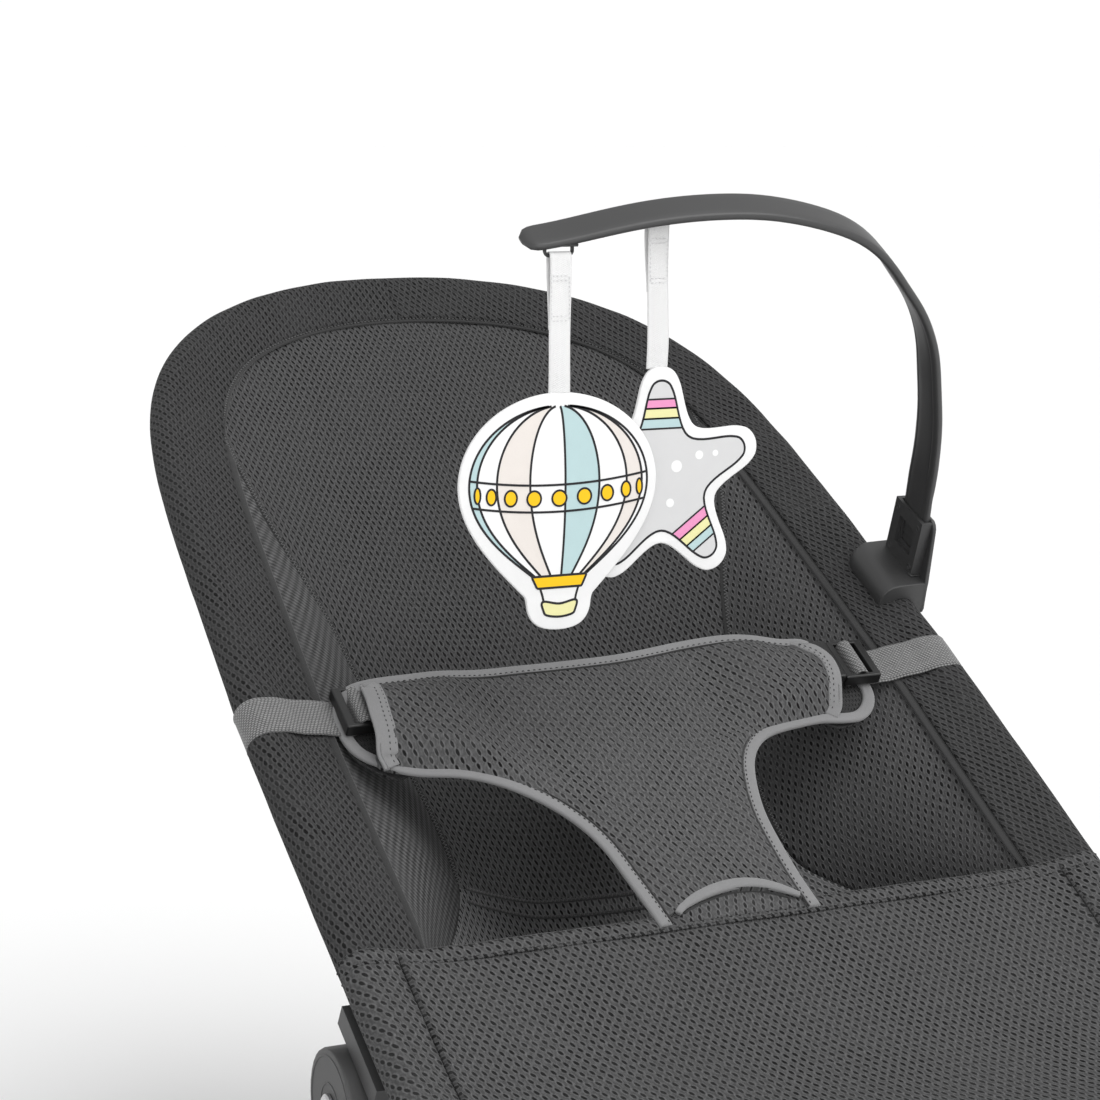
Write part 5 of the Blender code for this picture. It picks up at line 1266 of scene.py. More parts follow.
# the tape's inner edge: a dark cord along its crease, painted shade, and a row of stitches beside it
for j, (off, mat_, r_) in enumerate(((0.0019, "tape_dark", 0.0), (0.0019, "thread_dark", 0.00022))):
    side_sign = 1.0 if np.linalg.norm(offset2(inset, 0.002)[len(inset) // 2] - outline_all[len(inset) // 2]) > 0.0034 else -1.0
    q = soften(offset2(inset, side_sign * off), 3)
    keep = (np.abs(q[:, 0] + 0.01425) < 0.124)
    k0, k1 = np.argmax(keep), len(keep) - np.argmax(keep[::-1])
    if j == 0:
        runs = np.split(np.arange(len(q)), np.where(np.diff(keep.astype(int)) != 0)[0] + 1)
        for r_i, run_ in enumerate([r for r in runs if keep[r[0]] and len(r) > 8]):
            q2 = soften(offset2(inset, side_sign * 0.0036), 3)
            # dark cord where the tape's edge creases: painted shade
            o = sweep("harness_crease_%d" % r_i, at(q2[run_, 0], q2[run_, 1], hh[run_] + 0.0013), E_N, stadium(0.0011, 0.0009), M["thread_dark"], angle=180)
            place(o, "seat", slot="harness_mesh")
    if j == 1:
        rise = 0.00140
        runs = np.split(np.arange(len(q)), np.where(np.diff(keep.astype(int)) != 0)[0] + 1)
        for r_i, run_ in enumerate([r for r in runs if keep[r[0]] and len(r) > 8]):
            pth = at(q[run_, 0], q[run_, 1], hh[run_] + rise)
            o = stitch_row("harness_binding_stitches_%d" % r_i, pth, E_N, M["thread_dark"], 0.0020, 0.0012, 0.00030, 0.0001)
            place(o, "seat", slot="harness_mesh")

# arched end of the pad: its own binding
arc_line = smooth_through(np.array([(-0.0362, -0.1628), (-0.0330, -0.1598), (-0.0277, -0.1570), (-0.0204, -0.1542), (-0.0094, -0.1514),
                                    (0.0004, -0.1504), (0.0094, -0.1512), (0.0170, -0.1536), (0.0235, -0.1570), (0.0306, -0.1616)]), 90)
arc_line = resample(arc_line, 0.0014)
along = np.linspace(0, 1, len(arc_line))
width_k = 0.45 + 0.55 * np.sin(math.pi * np.clip(along, 0.02, 0.98)) ** 0.6
path = at(arc_line[:, 0], arc_line[:, 1] - 0.0006, 0.0066 + 0.0010 * np.sin(math.pi * along))
o = sweep("harness_arch_binding", path, E_N, stadium(0.0064, 0.0034, 8), M["tape"], scale=width_k, angle=180)
place(o, "seat", slot="harness_mesh")
# a thin dark strip just below the arched binding: painted shadow under its fold
path = at(arc_line[4:-4, 0], arc_line[4:-4, 1] - 0.0036, 0.0050 + 0 * along[4:-4])
o = sweep("harness_arch_shade", path, E_N, stadium(0.0018, 0.0012), M["seam_dark"], scale=width_k[4:-4], angle=180)
place(o, "seat", slot="harness_mesh")

# flat bands at the pad's two ends, each with two rows of stitches
for tag, curve, side, broad in (("left", hl, -1, 0.0110), ("right", hr_, 1, 0.0078)):
    q = resample(curve[2:48], 0.0014)
    last = q[-1] - q[-4]
    last = last / np.linalg.norm(last)
    q = np.concatenate([q, q[-1] + last * np.linspace(0.0010, 0.0026, 3)[:, None]])
    q = soften(q, 3)
    nrm = normals2(q)
    if (nrm[len(nrm) // 2, 0] * side) > 0:
        nrm = -nrm
    run_ = np.concatenate([[0], np.cumsum(np.linalg.norm(np.diff(q, axis=0), axis=1))])
    wide = broad * (0.35 + 0.65 * smoothstep(run_, 0.0, 0.012 if side > 0 else 0.004))
    mid = q + nrm * (wide * 0.5 - 0.0010)[:, None]
    hts = np.array([max(pad_height(x, s), pad_height(x - side * 0.003, s)) for x, s in mid])
    hts = soften(hts[:, None], 20)[:, 0]
    path = at(mid[:, 0], mid[:, 1], hts + 0.0001)
    o = sweep("harness_end_band_" + tag, path, E_N, stadium(broad, 0.0018, 8), M["tape"], scale=wide / broad, angle=180)
    place(o, "seat", slot="harness_mesh")
    rim = q + nrm * 0.0010
    path = at(rim[:, 0], rim[:, 1], hts - 0.0007)
    o = sweep("harness_end_fold_" + tag, path, E_N, stadium(0.0026, 0.0032, 8), M["tape"], scale=0.4 + 0.6 * wide / broad, angle=180)
    place(o, "seat", slot="harness_mesh")
    for k, off in enumerate((0.62, 0.88)):
        line2 = q + nrm * (wide * off - 0.0010)[:, None]
        path = at(line2[3:, 0], line2[3:, 1], hts[3:] + 0.0010 - (0.0002 if k else 0.0))
        o = stitch_row("harness_end_stitches_%s_%d" % (tag, k), path, E_N, M["thread_dark"], 0.0020, 0.0012, 0.00030, 0.0)
        place(o, "seat", slot="harness_mesh")

# ------------------------------------------------------ moulded and metal parts
BODY_OF = {}
for body_name, members in frame["record"]["behaviour"]["bodies"].items():
    for member in members:
        BODY_OF[member] = body_name


def refined(node, mat, bevel=0.0004, segments=2, angle=32, slot=None, body=None, uv=None):
    """A finished copy of a node's shape: edges rounded, curved faces smooth."""
    src = nodes[node] if not isinstance(nodes[node], str) else bpy.data.objects[nodes[node]]
    bm = bmesh.new()
    bm.from_mesh(src.data)
    bm.transform(src.matrix_world)
    bmesh.ops.remove_doubles(bm, verts=bm.verts[:], dist=0.000005)
    bmesh.ops.dissolve_limit(bm, angle_limit=math.radians(1.0), verts=bm.verts[:], edges=bm.edges[:])
    if bevel:
        edges = [e for e in bm.edges if len(e.link_faces) == 2 and e.calc_face_angle(0) > math.radians(angle)]
        bmesh.ops.bevel(bm, geom=edges, offset=bevel, offset_type="OFFSET", segments=segments, profile=0.5, affect="EDGES", clamp_overlap=True)
    me = bpy.data.meshes.new(node + "_finished")
    bm.to_mesh(me)
    bm.free()
    me.shade_smooth()
    me.set_sharp_from_angle(angle=math.radians(38))
    o = new_object(node + "_finished", me, mat)
    mod = o.modifiers.new("normals", "WEIGHTED_NORMAL")
    mod.keep_sharp = True
    place(o, body or BODY_OF[node], node, slot=slot)
    return o


# the clip: a saddle over the sleeve, a tall flange down its outer side and the socket before it
def rounded(name, bm, mat, bevel, segments=3, angle=30):
    edges = [e for e in bm.edges if len(e.link_faces) == 2 and e.calc_face_angle(0) > math.radians(angle)]
    bmesh.ops.bevel(bm, geom=edges, offset=bevel, offset_type="OFFSET", segments=segments, profile=0.5, affect="EDGES", clamp_overlap=True)
    me = bpy.data.meshes.new(name)
    bm.to_mesh(me)
    bm.free()
    me.shade_smooth()
    me.set_sharp_from_angle(angle=math.radians(50))
    o = new_object(name, me, mat)
    mod = o.modifiers.new("normals", "WEIGHTED_NORMAL")
    mod.keep_sharp = True
    return o


def tube_of_rings(rings):
    bm = bmesh.new()
    loops = [[bm.verts.new(p) for p in ring_] for ring_ in rings]
    n = len(loops[0])
    for k in range(len(loops) - 1):
        for i in range(n):
            bm.faces.new((loops[k][i], loops[k][(i + 1) % n], loops[k + 1][(i + 1) % n], loops[k + 1][i]))
    bm.faces.new(loops[0][::-1])
    bm.faces.new(loops[-1])
    bmesh.ops.recalc_face_normals(bm, faces=bm.faces[:])
    return bm


def carved(bm, cutters):
    """The solid less its cutters."""
    me = bpy.data.meshes.new("carve_base")
    bm.to_mesh(me)
    bm.free()
    base = bpy.data.objects.new("carve_base", me)
    bpy.context.scene.collection.objects.link(base)
    extra = [base]
    for i, cutter in enumerate(cutters):
        cm = bpy.data.meshes.new("carve_cutter_%d" % i)
        cutter.to_mesh(cm)
        cutter.free()
        co = bpy.data.objects.new("carve_cutter_%d" % i, cm)
        bpy.context.scene.collection.objects.link(co)
        mod = base.modifiers.new("cut_%d" % i, "BOOLEAN")
        mod.object, mod.operation, mod.solver = co, "DIFFERENCE", "EXACT"
        extra.append(co)
    bpy.context.view_layer.update()
    res = bpy.data.meshes.new_from_object(base.evaluated_get(bpy.context.evaluated_depsgraph_get()))
    out = bmesh.new()
    out.from_mesh(res)
    bmesh.ops.remove_doubles(out, verts=out.verts[:], dist=0.000005)
    bmesh.ops.dissolve_limit(out, angle_limit=math.radians(1.0), verts=out.verts[:], edges=out.edges[:])
    for o in extra:
        data = o.data
        bpy.data.objects.remove(o)
        bpy.data.meshes.remove(data)
    bpy.data.meshes.remove(res)
    return out


SADDLE = [(0.1835, 0.0049), (0.1800, 0.0040), (0.1788, 0.0062), (0.1785, 0.0100), (0.1792, 0.0133), (0.1811, 0.0164), (0.1842, 0.0184), (0.1885, 0.0193),
          (0.1960, 0.0196), (0.2066, 0.0200), (0.2105, 0.0004), (0.2099, -0.0018), (0.2064, -0.0030), (0.2040, -0.0022), (0.2030, -0.0004)]
SADDLE += [(0.1927 + 0.0098 * math.cos(math.radians(q)), 0.0098 * math.sin(math.radians(q))) for q in np.linspace(4, 140, 14)]
rings_ = []
for s_ in (0.0385, 0.0480, 0.0600, 0.0690, 0.0730, 0.0762, 0.0786, 0.0800):
    k_ = (s_ - 0.0385) / 0.0415
    back_ = max(0.0, (s_ - 0.0690) / 0.0110)
    pull = 0.0058 * (1 - math.sqrt(max(0.0, 1 - back_ ** 2)))
    ring_ = []
    for x_, n_ in SADDLE:
        left = float(smoothstep(0.1905 - x_, 0.0, 0.0110)) if n_ > 0.0030 and x_ < 0.1905 else 0.0
        ring_.append(tuple(at(x_ - 0.0019 * k_ + pull * left, s_, n_ - (0.0012 * k_ if n_ > 0.0150 else 0.0)).reshape(3)))
    rings_.append(ring_)
o = rounded("clip_saddle", tube_of_rings(rings_), M["clip"], 0.0008, 3, 32)
place(o, "seat", "bar_clip", slot="grey_plastic")
FLANGE = [(0.0385, -0.0018), (0.0385, 0.0200), (0.0448, 0.0500), (0.0455, 0.0528), (0.0470, 0.0552), (0.0494, 0.0566), (0.0742, 0.0545), (0.0768, 0.0532),
          (0.0780, 0.0508), (0.0800, -0.0010)]
def flange_x(n_, inner):
    return float(np.interp(n_, (0.0, 0.0200, 0.0566), (0.2105, 0.2066, 0.2044))) - inner * (0.0030 - 0.0006 * min(max(n_, 0.0) / 0.05, 1.0))
rings_ = [[tuple(at(flange_x(n_, inner) - 0.0019 * (s_ - 0.0385) / 0.0415, s_, n_).reshape(3)) for s_, n_ in FLANGE] for inner in (0.0, 1.0)]
o = rounded("clip_flange", tube_of_rings(rings_), M["clip"], 0.0008, 3, 32)
place(o, "seat", slot="grey_plastic")
# the socket's block: its inner face by corners, lower ones inside the saddle
FT, BT, BB, FB = (np.array(v) for v in ((0.1951, 0.0477, 0.0555), (0.1954, 0.0777, 0.0524), (0.1978, 0.0747, 0.0178), (0.1987, 0.0461, 0.0198)))


def on_block(w, h, deep=0.0):
    """Point on the socket's inner face: w from front to back... 0 at the back edge, h from the top down."""
    top = BT + (FT - BT) * w
    low = BB + (FB - BB) * w
    p_ = top + (low - top) * h
    return at(p_[0] + deep, p_[1], p_[2]).reshape(3)


def block_box(w0, w1, h0, h1, d0, d1, d0low=None, d1low=None):
    corner = lambda w, h, d: tuple(on_block(w, h, d))
    return tube_of_rings([[corner(w0, h0, d0), corner(w1, h0, d0), corner(w1, h1, d0 if d0low is None else d0low), corner(w0, h1, d0 if d0low is None else d0low)],
                          [corner(w0, h0, d1), corner(w1, h0, d1), corner(w1, h1, d1 if d1low is None else d1low), corner(w0, h1, d1 if d1low is None else d1low)]])


MOUTH = np.array((0.2001, 0.0626, 0.0550))
DOWN = np.array((0.10, -math.sin(math.radians(10)), -math.cos(math.radians(10))))
DOWN /= np.linalg.norm(DOWN)


def slot_ring(depth):
    c_ = MOUTH + DOWN * depth
    return [tuple(at(c_[0] + a_, c_[1] + b_ * ACROSS_S[1], c_[2] + b_ * ACROSS_S[2]).reshape(3)) for a_, b_ in ((-0.0027, -0.0129), (0.0027, -0.0129), (0.0027, 0.0129), (-0.0027, 0.0129))]


ACROSS_S = np.array((0, math.cos(math.radians(10)), -math.sin(math.radians(10))))
block_bm = block_box(0.0, 1.0, 0.0, 1.12, 0.0, 0.0066, None, 0.0076)
block_bm = carved(block_bm, [tube_of_rings([slot_ring(-0.012), slot_ring(0.0085)]), block_box(0.24, 0.80, 0.235, 0.715, -0.003, 0.0021),
                             block_box(0.31, 0.72, 0.300, 0.640, -0.003, 0.0036)])
o = rounded("clip_socket", block_bm, M["clip"], 0.0007, 3, 28)
place(o, "seat", slot="grey_plastic")
for k, (w_, h_) in enumerate(((0.130, 0.140), (0.885, 0.140), (0.130, 0.880), (0.885, 0.880))):
    t_ = np.linspace(0, 2 * math.pi, 25)[:-1]
    ring_path = np.array([on_block(w_ + 0.050 * math.cos(q), h_ + 0.042 * math.sin(q), -0.00005) for q in t_])
    o = sweep("clip_mark_%d" % k, ring_path, np.broadcast_to(np.array((-1.0, 0.0, 0.0)), ring_path.shape), ring(0.00030, 6), M["clip"], closed_path=True, angle=180)
    place(o, "seat", slot="grey_plastic")
foot_path = [on_block(w_, 0.985, -0.0001) for w_ in (0.93, 0.97)] + [on_block(1.0, 0.985, d_) + E_S * -0.0004 for d_ in (0.0002, 0.0030, 0.0064)]
o = sweep("clip_foot_rim", smooth_through(np.array(foot_path), 24), E_N, ring(0.00055, 8), M["clip"], angle=180)
place(o, "seat", slot="grey_plastic")
for tag in ("left", "right"):
    refined("buckle_socket_" + tag, M["black"], 0.0005, 2, 32, "black_plastic")
    refined("buckle_plug_" + tag, M["black"], 0.0004, 2, 32, "black_plastic")
    for word in ("upper", "lower"):
        refined("buckle_prong_%s_%s" % (word, tag), M["black"], 0.0003, 2, 32, "black_plastic")
    refined("seat_hinge_" + tag, M["hinge"], 0.0008, 2, 32, "grey_plastic")
    refined("base_hinge_" + tag, M["hinge"], 0.0007, 2, 32, "grey_plastic")
    refined("release_button_" + tag, M["black"], 0.0004, 2, 32, "black_plastic")
    for node, mat, slot in (("rail_coupler_", "hinge", "grey_plastic"), ("front_foot_", "rubber", "rubber"), ("rear_foot_", "rubber", "rubber")):
        refined(node + tag, M[mat], 0.0006, 2, 40, slot)
    refined("pivot_rivet_" + tag, M["steel"], 0.0, 1, 40, "bare_steel")


def arc3(cx, cy, r, a0, a1, count):
    a = np.radians(np.linspace(a0, a1, count))
    return np.stack([cx + r * np.cos(a), cy + r * np.sin(a)], 1)


# the legs' hairpins and the floor rail, drawn smooth
HINGE = np.array((0.0, -0.117157, 0.198154))
LOCK = np.array((0.0, -0.107709, 0.182248))
NOSE_Y, NOSE_Z, NOSE_R, RAIL_Z, LEG_X, COUPLER = -0.24465, 0.0725, 0.060, 0.0125, 0.2014, -0.12176
LEG_ANGLE = math.radians(25)
along = np.array((0, -math.cos(LEG_ANGLE), -math.sin(LEG_ANGLE)))
for side, tag in ((-1, "left"), (1, "right")):
    pts = [(COUPLER - 0.0003, RAIL_Z), (NOSE_Y + 0.060, RAIL_Z), (NOSE_Y + 0.030, RAIL_Z)]
    pts += [tuple(p) for p in arc3(NOSE_Y, NOSE_Z, NOSE_R, -90, -245, 52)]
    top_end = HINGE + along * 0.0305
    pts += [(top_end[1] - 0.02 * math.cos(LEG_ANGLE), top_end[2] - 0.02 * math.sin(LEG_ANGLE)), (top_end[1], top_end[2])]
    q = resample(np.array(pts), 0.0045)
    path = np.stack([np.full(len(q), side * LEG_X), q[:, 0], q[:, 1]], 1)
    o = sweep("leg_%s" % tag, path, (1.0, 0, 0), ring(TUBE_R, 32), M["steel_dark"], angle=60)
    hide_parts("leg_spring_" + tag)
    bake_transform(o)

REAR, CORNER = 0.31824, 0.085
pts = [(LEG_X, COUPLER + 0.0003), (LEG_X, REAR - CORNER)] + [tuple(p) for p in arc3(LEG_X - CORNER, REAR - CORNER, CORNER, 2, 90, 40)]
pts = np.array(pts)
pts = np.concatenate([pts, (pts * (-1, 1))[::-1]])
q = resample(pts, 0.0050)
rail = sweep("rail", np.stack([q[:, 0], q[:, 1], np.full(len(q), RAIL_Z)], 1), (0, 0, 1.0), ring(TUBE_R, 32), M["steel_dark"], angle=60)
place(rail, "base", "floor_rail", slot="painted_steel")

# springs behind the recline buttons
for side, tag in ((-1, "left"), (1, "right")):
    a = np.linspace(0, 2 * math.pi * 3, 97)
    path = np.stack([side * (0.2010 + 0.0078 * a / a[-1]), LOCK[1] + 0.0059 * np.cos(a), LOCK[2] + 0.0059 * np.sin(a)], 1)
    o = sweep("button_spring_" + tag, path, (1.0, 0, 0), ring(0.00045, 8), M["steel"], angle=180)
    place(o, "release_" + tag, "release_spring_" + tag, slot="bare_steel")
    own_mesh(o)
    # moulded rings on the hinge's outer face
    for j, (r0, w) in enumerate(((0.0245, 0.0012), (0.0120, 0.0010))):
        a = np.linspace(0, 2 * math.pi, 73)[:-1]
        path = np.stack([np.full(72, side * 0.21245), HINGE[1] + r0 * np.cos(a), HINGE[2] + r0 * np.sin(a)], 1)
        o = sweep("hinge_ring_%s_%d" % (tag, j), path, (1.0, 0, 0), stadium(w, 0.0008), M["hinge"], closed_path=True, angle=180)
        place(o, "legs", slot="grey_plastic")
# the seat's tube under the fabric
for node in ("seat_tube_head", "seat_tube_foot"):
    ob = nodes[node] if not isinstance(nodes[node], str) else bpy.data.objects[nodes[node]]
    ob.data.materials.clear() if not ob.material_slots else None
    for slot_ in ob.material_slots:
        slot_.material = M["steel_dark"]

# --------------------------------------------------------------- waist straps


def strap_path(side):
    """Cross and height line of the webbing, from its sewn end in the buckle to under the sleeve."""
    first = [(0.1346, -0.0023), (0.1376, -0.0018), (0.1382, 0.0010), (0.1384, 0.0052), (0.1394, 0.0070), (0.1418, 0.0077),
             (0.1442, 0.0070), (0.1452, 0.0052), (0.1454, 0.0010), (0.1460, -0.0018), (0.1490, -0.0023), (0.1540, -0.0020)]
    cx = float(half_width(STRAP_S)) - ROLL_R
    out = [(a + side * BUCKLE_X, b + BUCKLE_LIFT) for a, b in first]
    out += [(0.1600, 0.0030), (cx - 0.0300, 0.0042), (cx - 0.018, 0.0062), (cx - 0.0095, 0.0092)]
    out += [tuple(p) for p in arc3(cx, 0, SLEEVE_R + 0.0011, 96, -96, 19)]
    out += [(cx - 0.0095, -0.0090), (cx - 0.018, -0.0050), (cx - 0.0235, -0.0046)]
    return np.array(out)


for side, tag in ((-1, "left"), (1, "right")):
    q = resample(smooth_through(strap_path(side), 420), 0.0008)
    q = soften(q, 3)
    run = np.concatenate([[0], np.cumsum(np.linalg.norm(np.diff(q, axis=0), axis=1))])
    across = np.linspace(-STRAP_W / 2, STRAP_W / 2, 13)
    rows = []
    for (a, b), u in zip(q, run):
        n = b - 0.00025 * (np.abs(across) / (STRAP_W / 2)) ** 6
        lift = 0.0
        if 0.158 < a < 0.185 and b > 0:
            lift = 0.0006 * math.sin((a - 0.158) / 0.027 * math.pi)
        rows.append(at(side * a, STRAP_S + across, n + lift))
    P = np.array(rows)
    uv = np.stack([np.broadcast_to(run[:, None], P.shape[:2]), np.broadcast_to(across[None], P.shape[:2])], -1)
    o = cloth("strap_" + tag, P, M["webbing"], uv, 0.0011, 0.0, angle=60)
    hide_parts("waist_strap_" + tag)
    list(point(0, STRAP_S, 0.006)[1:])
    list(point(0, STRAP_S, 0.006)[1:])
    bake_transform(o)
    # selvedges: a denser cord along each edge
    for k, e in ((0, -1), (12, 1)):
        o = sweep("strap_edge_%s_%d" % (tag, k), P[:, k], np.cross(np.gradient(P[:, k], axis=0), np.broadcast_to(E_S, P[:, k].shape)), ring(0.00072, 8, 0.95), M["webbing"], angle=180)
        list(point(0, STRAP_S, 0.006)[1:])
        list(point(0, STRAP_S, 0.006)[1:])
        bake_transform(o)

# -------------------------------------------------------------------- toy bar
BAR_LINE = [(0.1935, 0.0866), (0.1915, 0.0970), (0.1890, 0.1075), (0.1845, 0.1225), (0.1768, 0.1430), (0.1660, 0.1700),
            (0.1510, 0.1935), (0.1335, 0.2120), (0.1190, 0.2270), (0.1000, 0.2400), (0.0800, 0.2475), (0.0600, 0.2525),
            (0.0400, 0.2555), (0.0180, 0.2560), (-0.0050, 0.2545), (-0.0250, 0.2515), (-0.0450, 0.2470), (-0.0650, 0.2420),
            (-0.0790, 0.2395), (-0.0838, 0.2388)]
UPV = np.array((0, math.sin(math.radians(10)), math.cos(math.radians(10))))
ACV = np.array((0, math.cos(math.radians(10)), -math.sin(math.radians(10))))


def sock(x, a, b):
    """Socket coordinates to seat coordinates: across, along its width and up the bar."""
    return np.array((x, 0.0507, 0.0275)) + ACV * a + UPV * b


def to_world(p):
    p = np.asarray(p, float)
    return at(p[..., 0], p[..., 1], p[..., 2])


def bar_x(b):
    return 0.1957 - 0.10 * (b - 0.0340)


line3 = [sock(bar_x(b), 0, b) for b in (0.0145, 0.0345, 0.0460)]
line3 += [np.array((x, 0.0620 - 0.0012 * max(0.0, 1 - (n - 0.0866) / 0.02), n)) for x, n in BAR_LINE]
line3 = smooth_through(np.array(line3), 900)
line3 = resample(line3, 0.0030)
line3[12:] = np.concatenate([line3[12:13], soften(line3[12:], 14)[1:]])
foot_shift = 1 - smoothstep(line3[:, 2], 0.062, 0.130)
line3 = line3 + np.array((0.0042, 0.0062, -0.0045)) * foot_shift[:, None]
run = np.concatenate([[0], np.cumsum(np.linalg.norm(np.diff(line3, axis=0), axis=1))])
tang = np.gradient(line3, axis=0)
tang /= np.linalg.norm(tang, axis=1, keepdims=True)


def bar_section(count=9):
    """Half thickness profile: flat face with two fine lines and rolled edges, for unit width and thickness."""
    pts = []
    for x, y in ((-0.5, -0.10), (-0.5, 0.14), (-0.488, 0.30), (-0.460, 0.43), (-0.420, 0.50), (-0.365, 0.525), (-0.345, 0.515), (-0.335, 0.485),
                 (-0.325, 0.515), (-0.300, 0.54), (-0.15, 0.565), (0.0, 0.575), (0.15, 0.565), (0.300, 0.54), (0.325, 0.515), (0.335, 0.485),
                 (0.345, 0.515), (0.365, 0.525), (0.420, 0.50), (0.460, 0.43), (0.488, 0.30), (0.5, 0.14), (0.5, -0.10), (0.488, -0.28),
                 (0.455, -0.42), (0.41, -0.48), (0.2, -0.50), (0.0, -0.50), (-0.2, -0.50), (-0.41, -0.48), (-0.455, -0.42), (-0.488, -0.28)):
        pts.append((x, y))
    return np.array(pts)


sec = bar_section()
rows = []
end = run[-1]
for i, p in enumerate(line3):
    k = run[i] / end
    w, h = 0.0252 + (0.0180 - 0.0252) * k, 0.0050 + (0.0038 - 0.0050) * k
    lean = max(0.0, 1 - run[i] / 0.06)
    acr = np.array((0, 1.0, 0)) * (1 - lean) + ACV * lean
    acr = acr - tang[i] * (acr @ tang[i])
    acr /= np.linalg.norm(acr)
    upv = np.cross(tang[i], acr)
    if run[i] < 0.030:
        w, h = 0.0246, 0.0042
    elif run[i] < 0.038:
        q = (run[i] - 0.030) / 0.008
        w, h = 0.0246 * (1 - q) + w * q, 0.0042 * (1 - q) + h * q
    rest = end - run[i]
    if rest < 0.0095:
        q = math.sqrt(max(0.0, 1 - (1 - rest / 0.0095) ** 2.4))
        w *= max(q, 0.30)
        h *= max(min(1.0, 0.35 + 0.65 * (rest / 0.003)), 0.35) if rest < 0.003 else 1.0
    rows.append(to_world(p + acr * (sec[:, :1] * w) + upv * (sec[:, 1:] * h)))
P = np.array(rows)
faces = grid_faces(len(P), len(sec), True) + [tuple(range(len(sec)))[::-1], tuple((len(P) - 1) * len(sec) + i for i in range(len(sec)))]
bar = mesh_from("arm", P.reshape(-1, 3), faces, None, M["bar"], angle=75)
place(bar, "bar", "toy_bar", slot="bar_plastic")

LUGS = {"balloon": np.array((-0.0668, -0.04626, 0.574804)), "star": np.array((-0.0124, -0.04176, 0.591099))}
RIBBON_W = 0.0112
for name, c in LUGS.items():
    half = RIBBON_W / 2 + 0.0022
    path = [c + np.array((-half + 0.0006, 0, 0.0062)), c + np.array((-half + 0.0006, 0, 0.0030))]
    path += [c + np.array((-half + 0.0006 + 0.0024 * (1 - math.cos(a)), 0, 0.0024 * (1 - math.sin(a)))) for a in np.linspace(0, math.pi / 2, 7)]
    path += [c + np.array((half - 0.0006 - 0.0024 * (1 - math.cos(a)), 0, 0.0024 * (1 - math.sin(a)))) for a in np.linspace(math.pi / 2, 0, 7)]
    path += [c + np.array((half - 0.0006, 0, 0.0030)), c + np.array((half - 0.0006, 0, 0.0062))]
    o = sweep("lug_" + name, np.array(path), (0, 1.0, 0), stadium(0.0018, 0.0026, 5), M["bar"], angle=180)
    place(o, "bar", slot="bar_plastic")
    pad_ = sweep("lug_plate_" + name, np.array([c + np.array((x, 0.0, 0.0049)) for x in np.linspace(-half - 0.0016, half + 0.0016, 9)]), (0, 0, 1.0), stadium(0.0050, 0.0016, 5), M["bar"], angle=180)
    place(pad_, "bar", slot="bar_plastic")

# -------------------------------------------------------------------- ribbons
BALLOON_TOP, STAR_TOP = 0.1640, 0.1738
for name, topz, seed in (("balloon", BALLOON_TOP, 2.0), ("star", STAR_TOP, 7.0)):
    c = LUGS[name]
    drop = c[2] - (STRAP_HEIGHT + topz) - 0.0010
    side_line = [(-0.0006, -drop - 0.0012), (-0.0016, -drop + 0.012), (-0.0020, -0.040), (-0.0022, -0.010), (-0.0020, 0.0)]
    side_line += [(0.0020 * math.cos(math.radians(a)), 0.0017 * math.sin(math.radians(a))) for a in (150, 120, 90, 60, 30)]
    side_line += [(0.0020, 0.0), (0.0018, -0.010), (0.0002, -0.022), (-0.0010, -0.030), (-0.0012, -0.0350)]
    q = resample(smooth_through(np.array(side_line), 300), 0.0012)
    run = np.concatenate([[0], np.cumsum(np.linalg.norm(np.diff(q, axis=0), axis=1))])
    across = np.linspace(-RIBBON_W / 2, RIBBON_W / 2, 11)
    rows = []
    for (y, z), u in zip(q, run):
        sway = 0.0003 * math.sin(z * 90 + seed)
        rows.append(np.stack([c[0] + across * (1 - 0.012 * math.sin(z * 70 + seed) ** 2) + sway, c[1] + y + 0.00022 * np.sin(across * 400 + z * 60 + seed), np.full(11, c[2] + z)], 1))
    P = np.array(rows)
    uv = np.stack([np.broadcast_to(run[:, None], P.shape[:2]), np.broadcast_to(across[None], P.shape[:2])], -1)
    o = cloth("hanger_" + name, P, M["ribbon"], uv, 0.0006, 0.0, angle=80)
    place(o, name, "ribbon_" + name, slot="ribbon")
    front_y = c[1] - 0.0020 - 0.0005
    k = 0
    for z0, z1 in ((-0.0095, -0.0095), (-0.0285, -0.0285)):
        for off in (0.0, 0.0022):
            path = np.stack([c[0] + np.linspace(-0.0046, 0.0046, 12), np.full(12, front_y), np.full(12, c[2] + z0 - off)], 1)
            o = stitch_row("hanger_%s_stitches_%d" % (name, k), path, (0, -1.0, 0), M["ribbon_thread"], 0.0013, 0.0008, 0.00020, 0.0002, 0.0001)
            place(o, name, slot="ribbon")
            k += 1
    for x in (-0.0046, 0.0046):
        path = np.stack([np.full(24, c[0] + x), np.full(24, front_y), c[2] + np.linspace(-0.0095, -0.0305, 24)], 1)
        o = stitch_row("hanger_%s_stitches_%d" % (name, k), path, (0, -1.0, 0), M["ribbon_thread"], 0.0013, 0.0008, 0.00020, 0.0002, 0.0001)
        place(o, name, slot="ribbon")
        k += 1

# ----------------------------------------------------------------------- toys
THICK = 0.0024


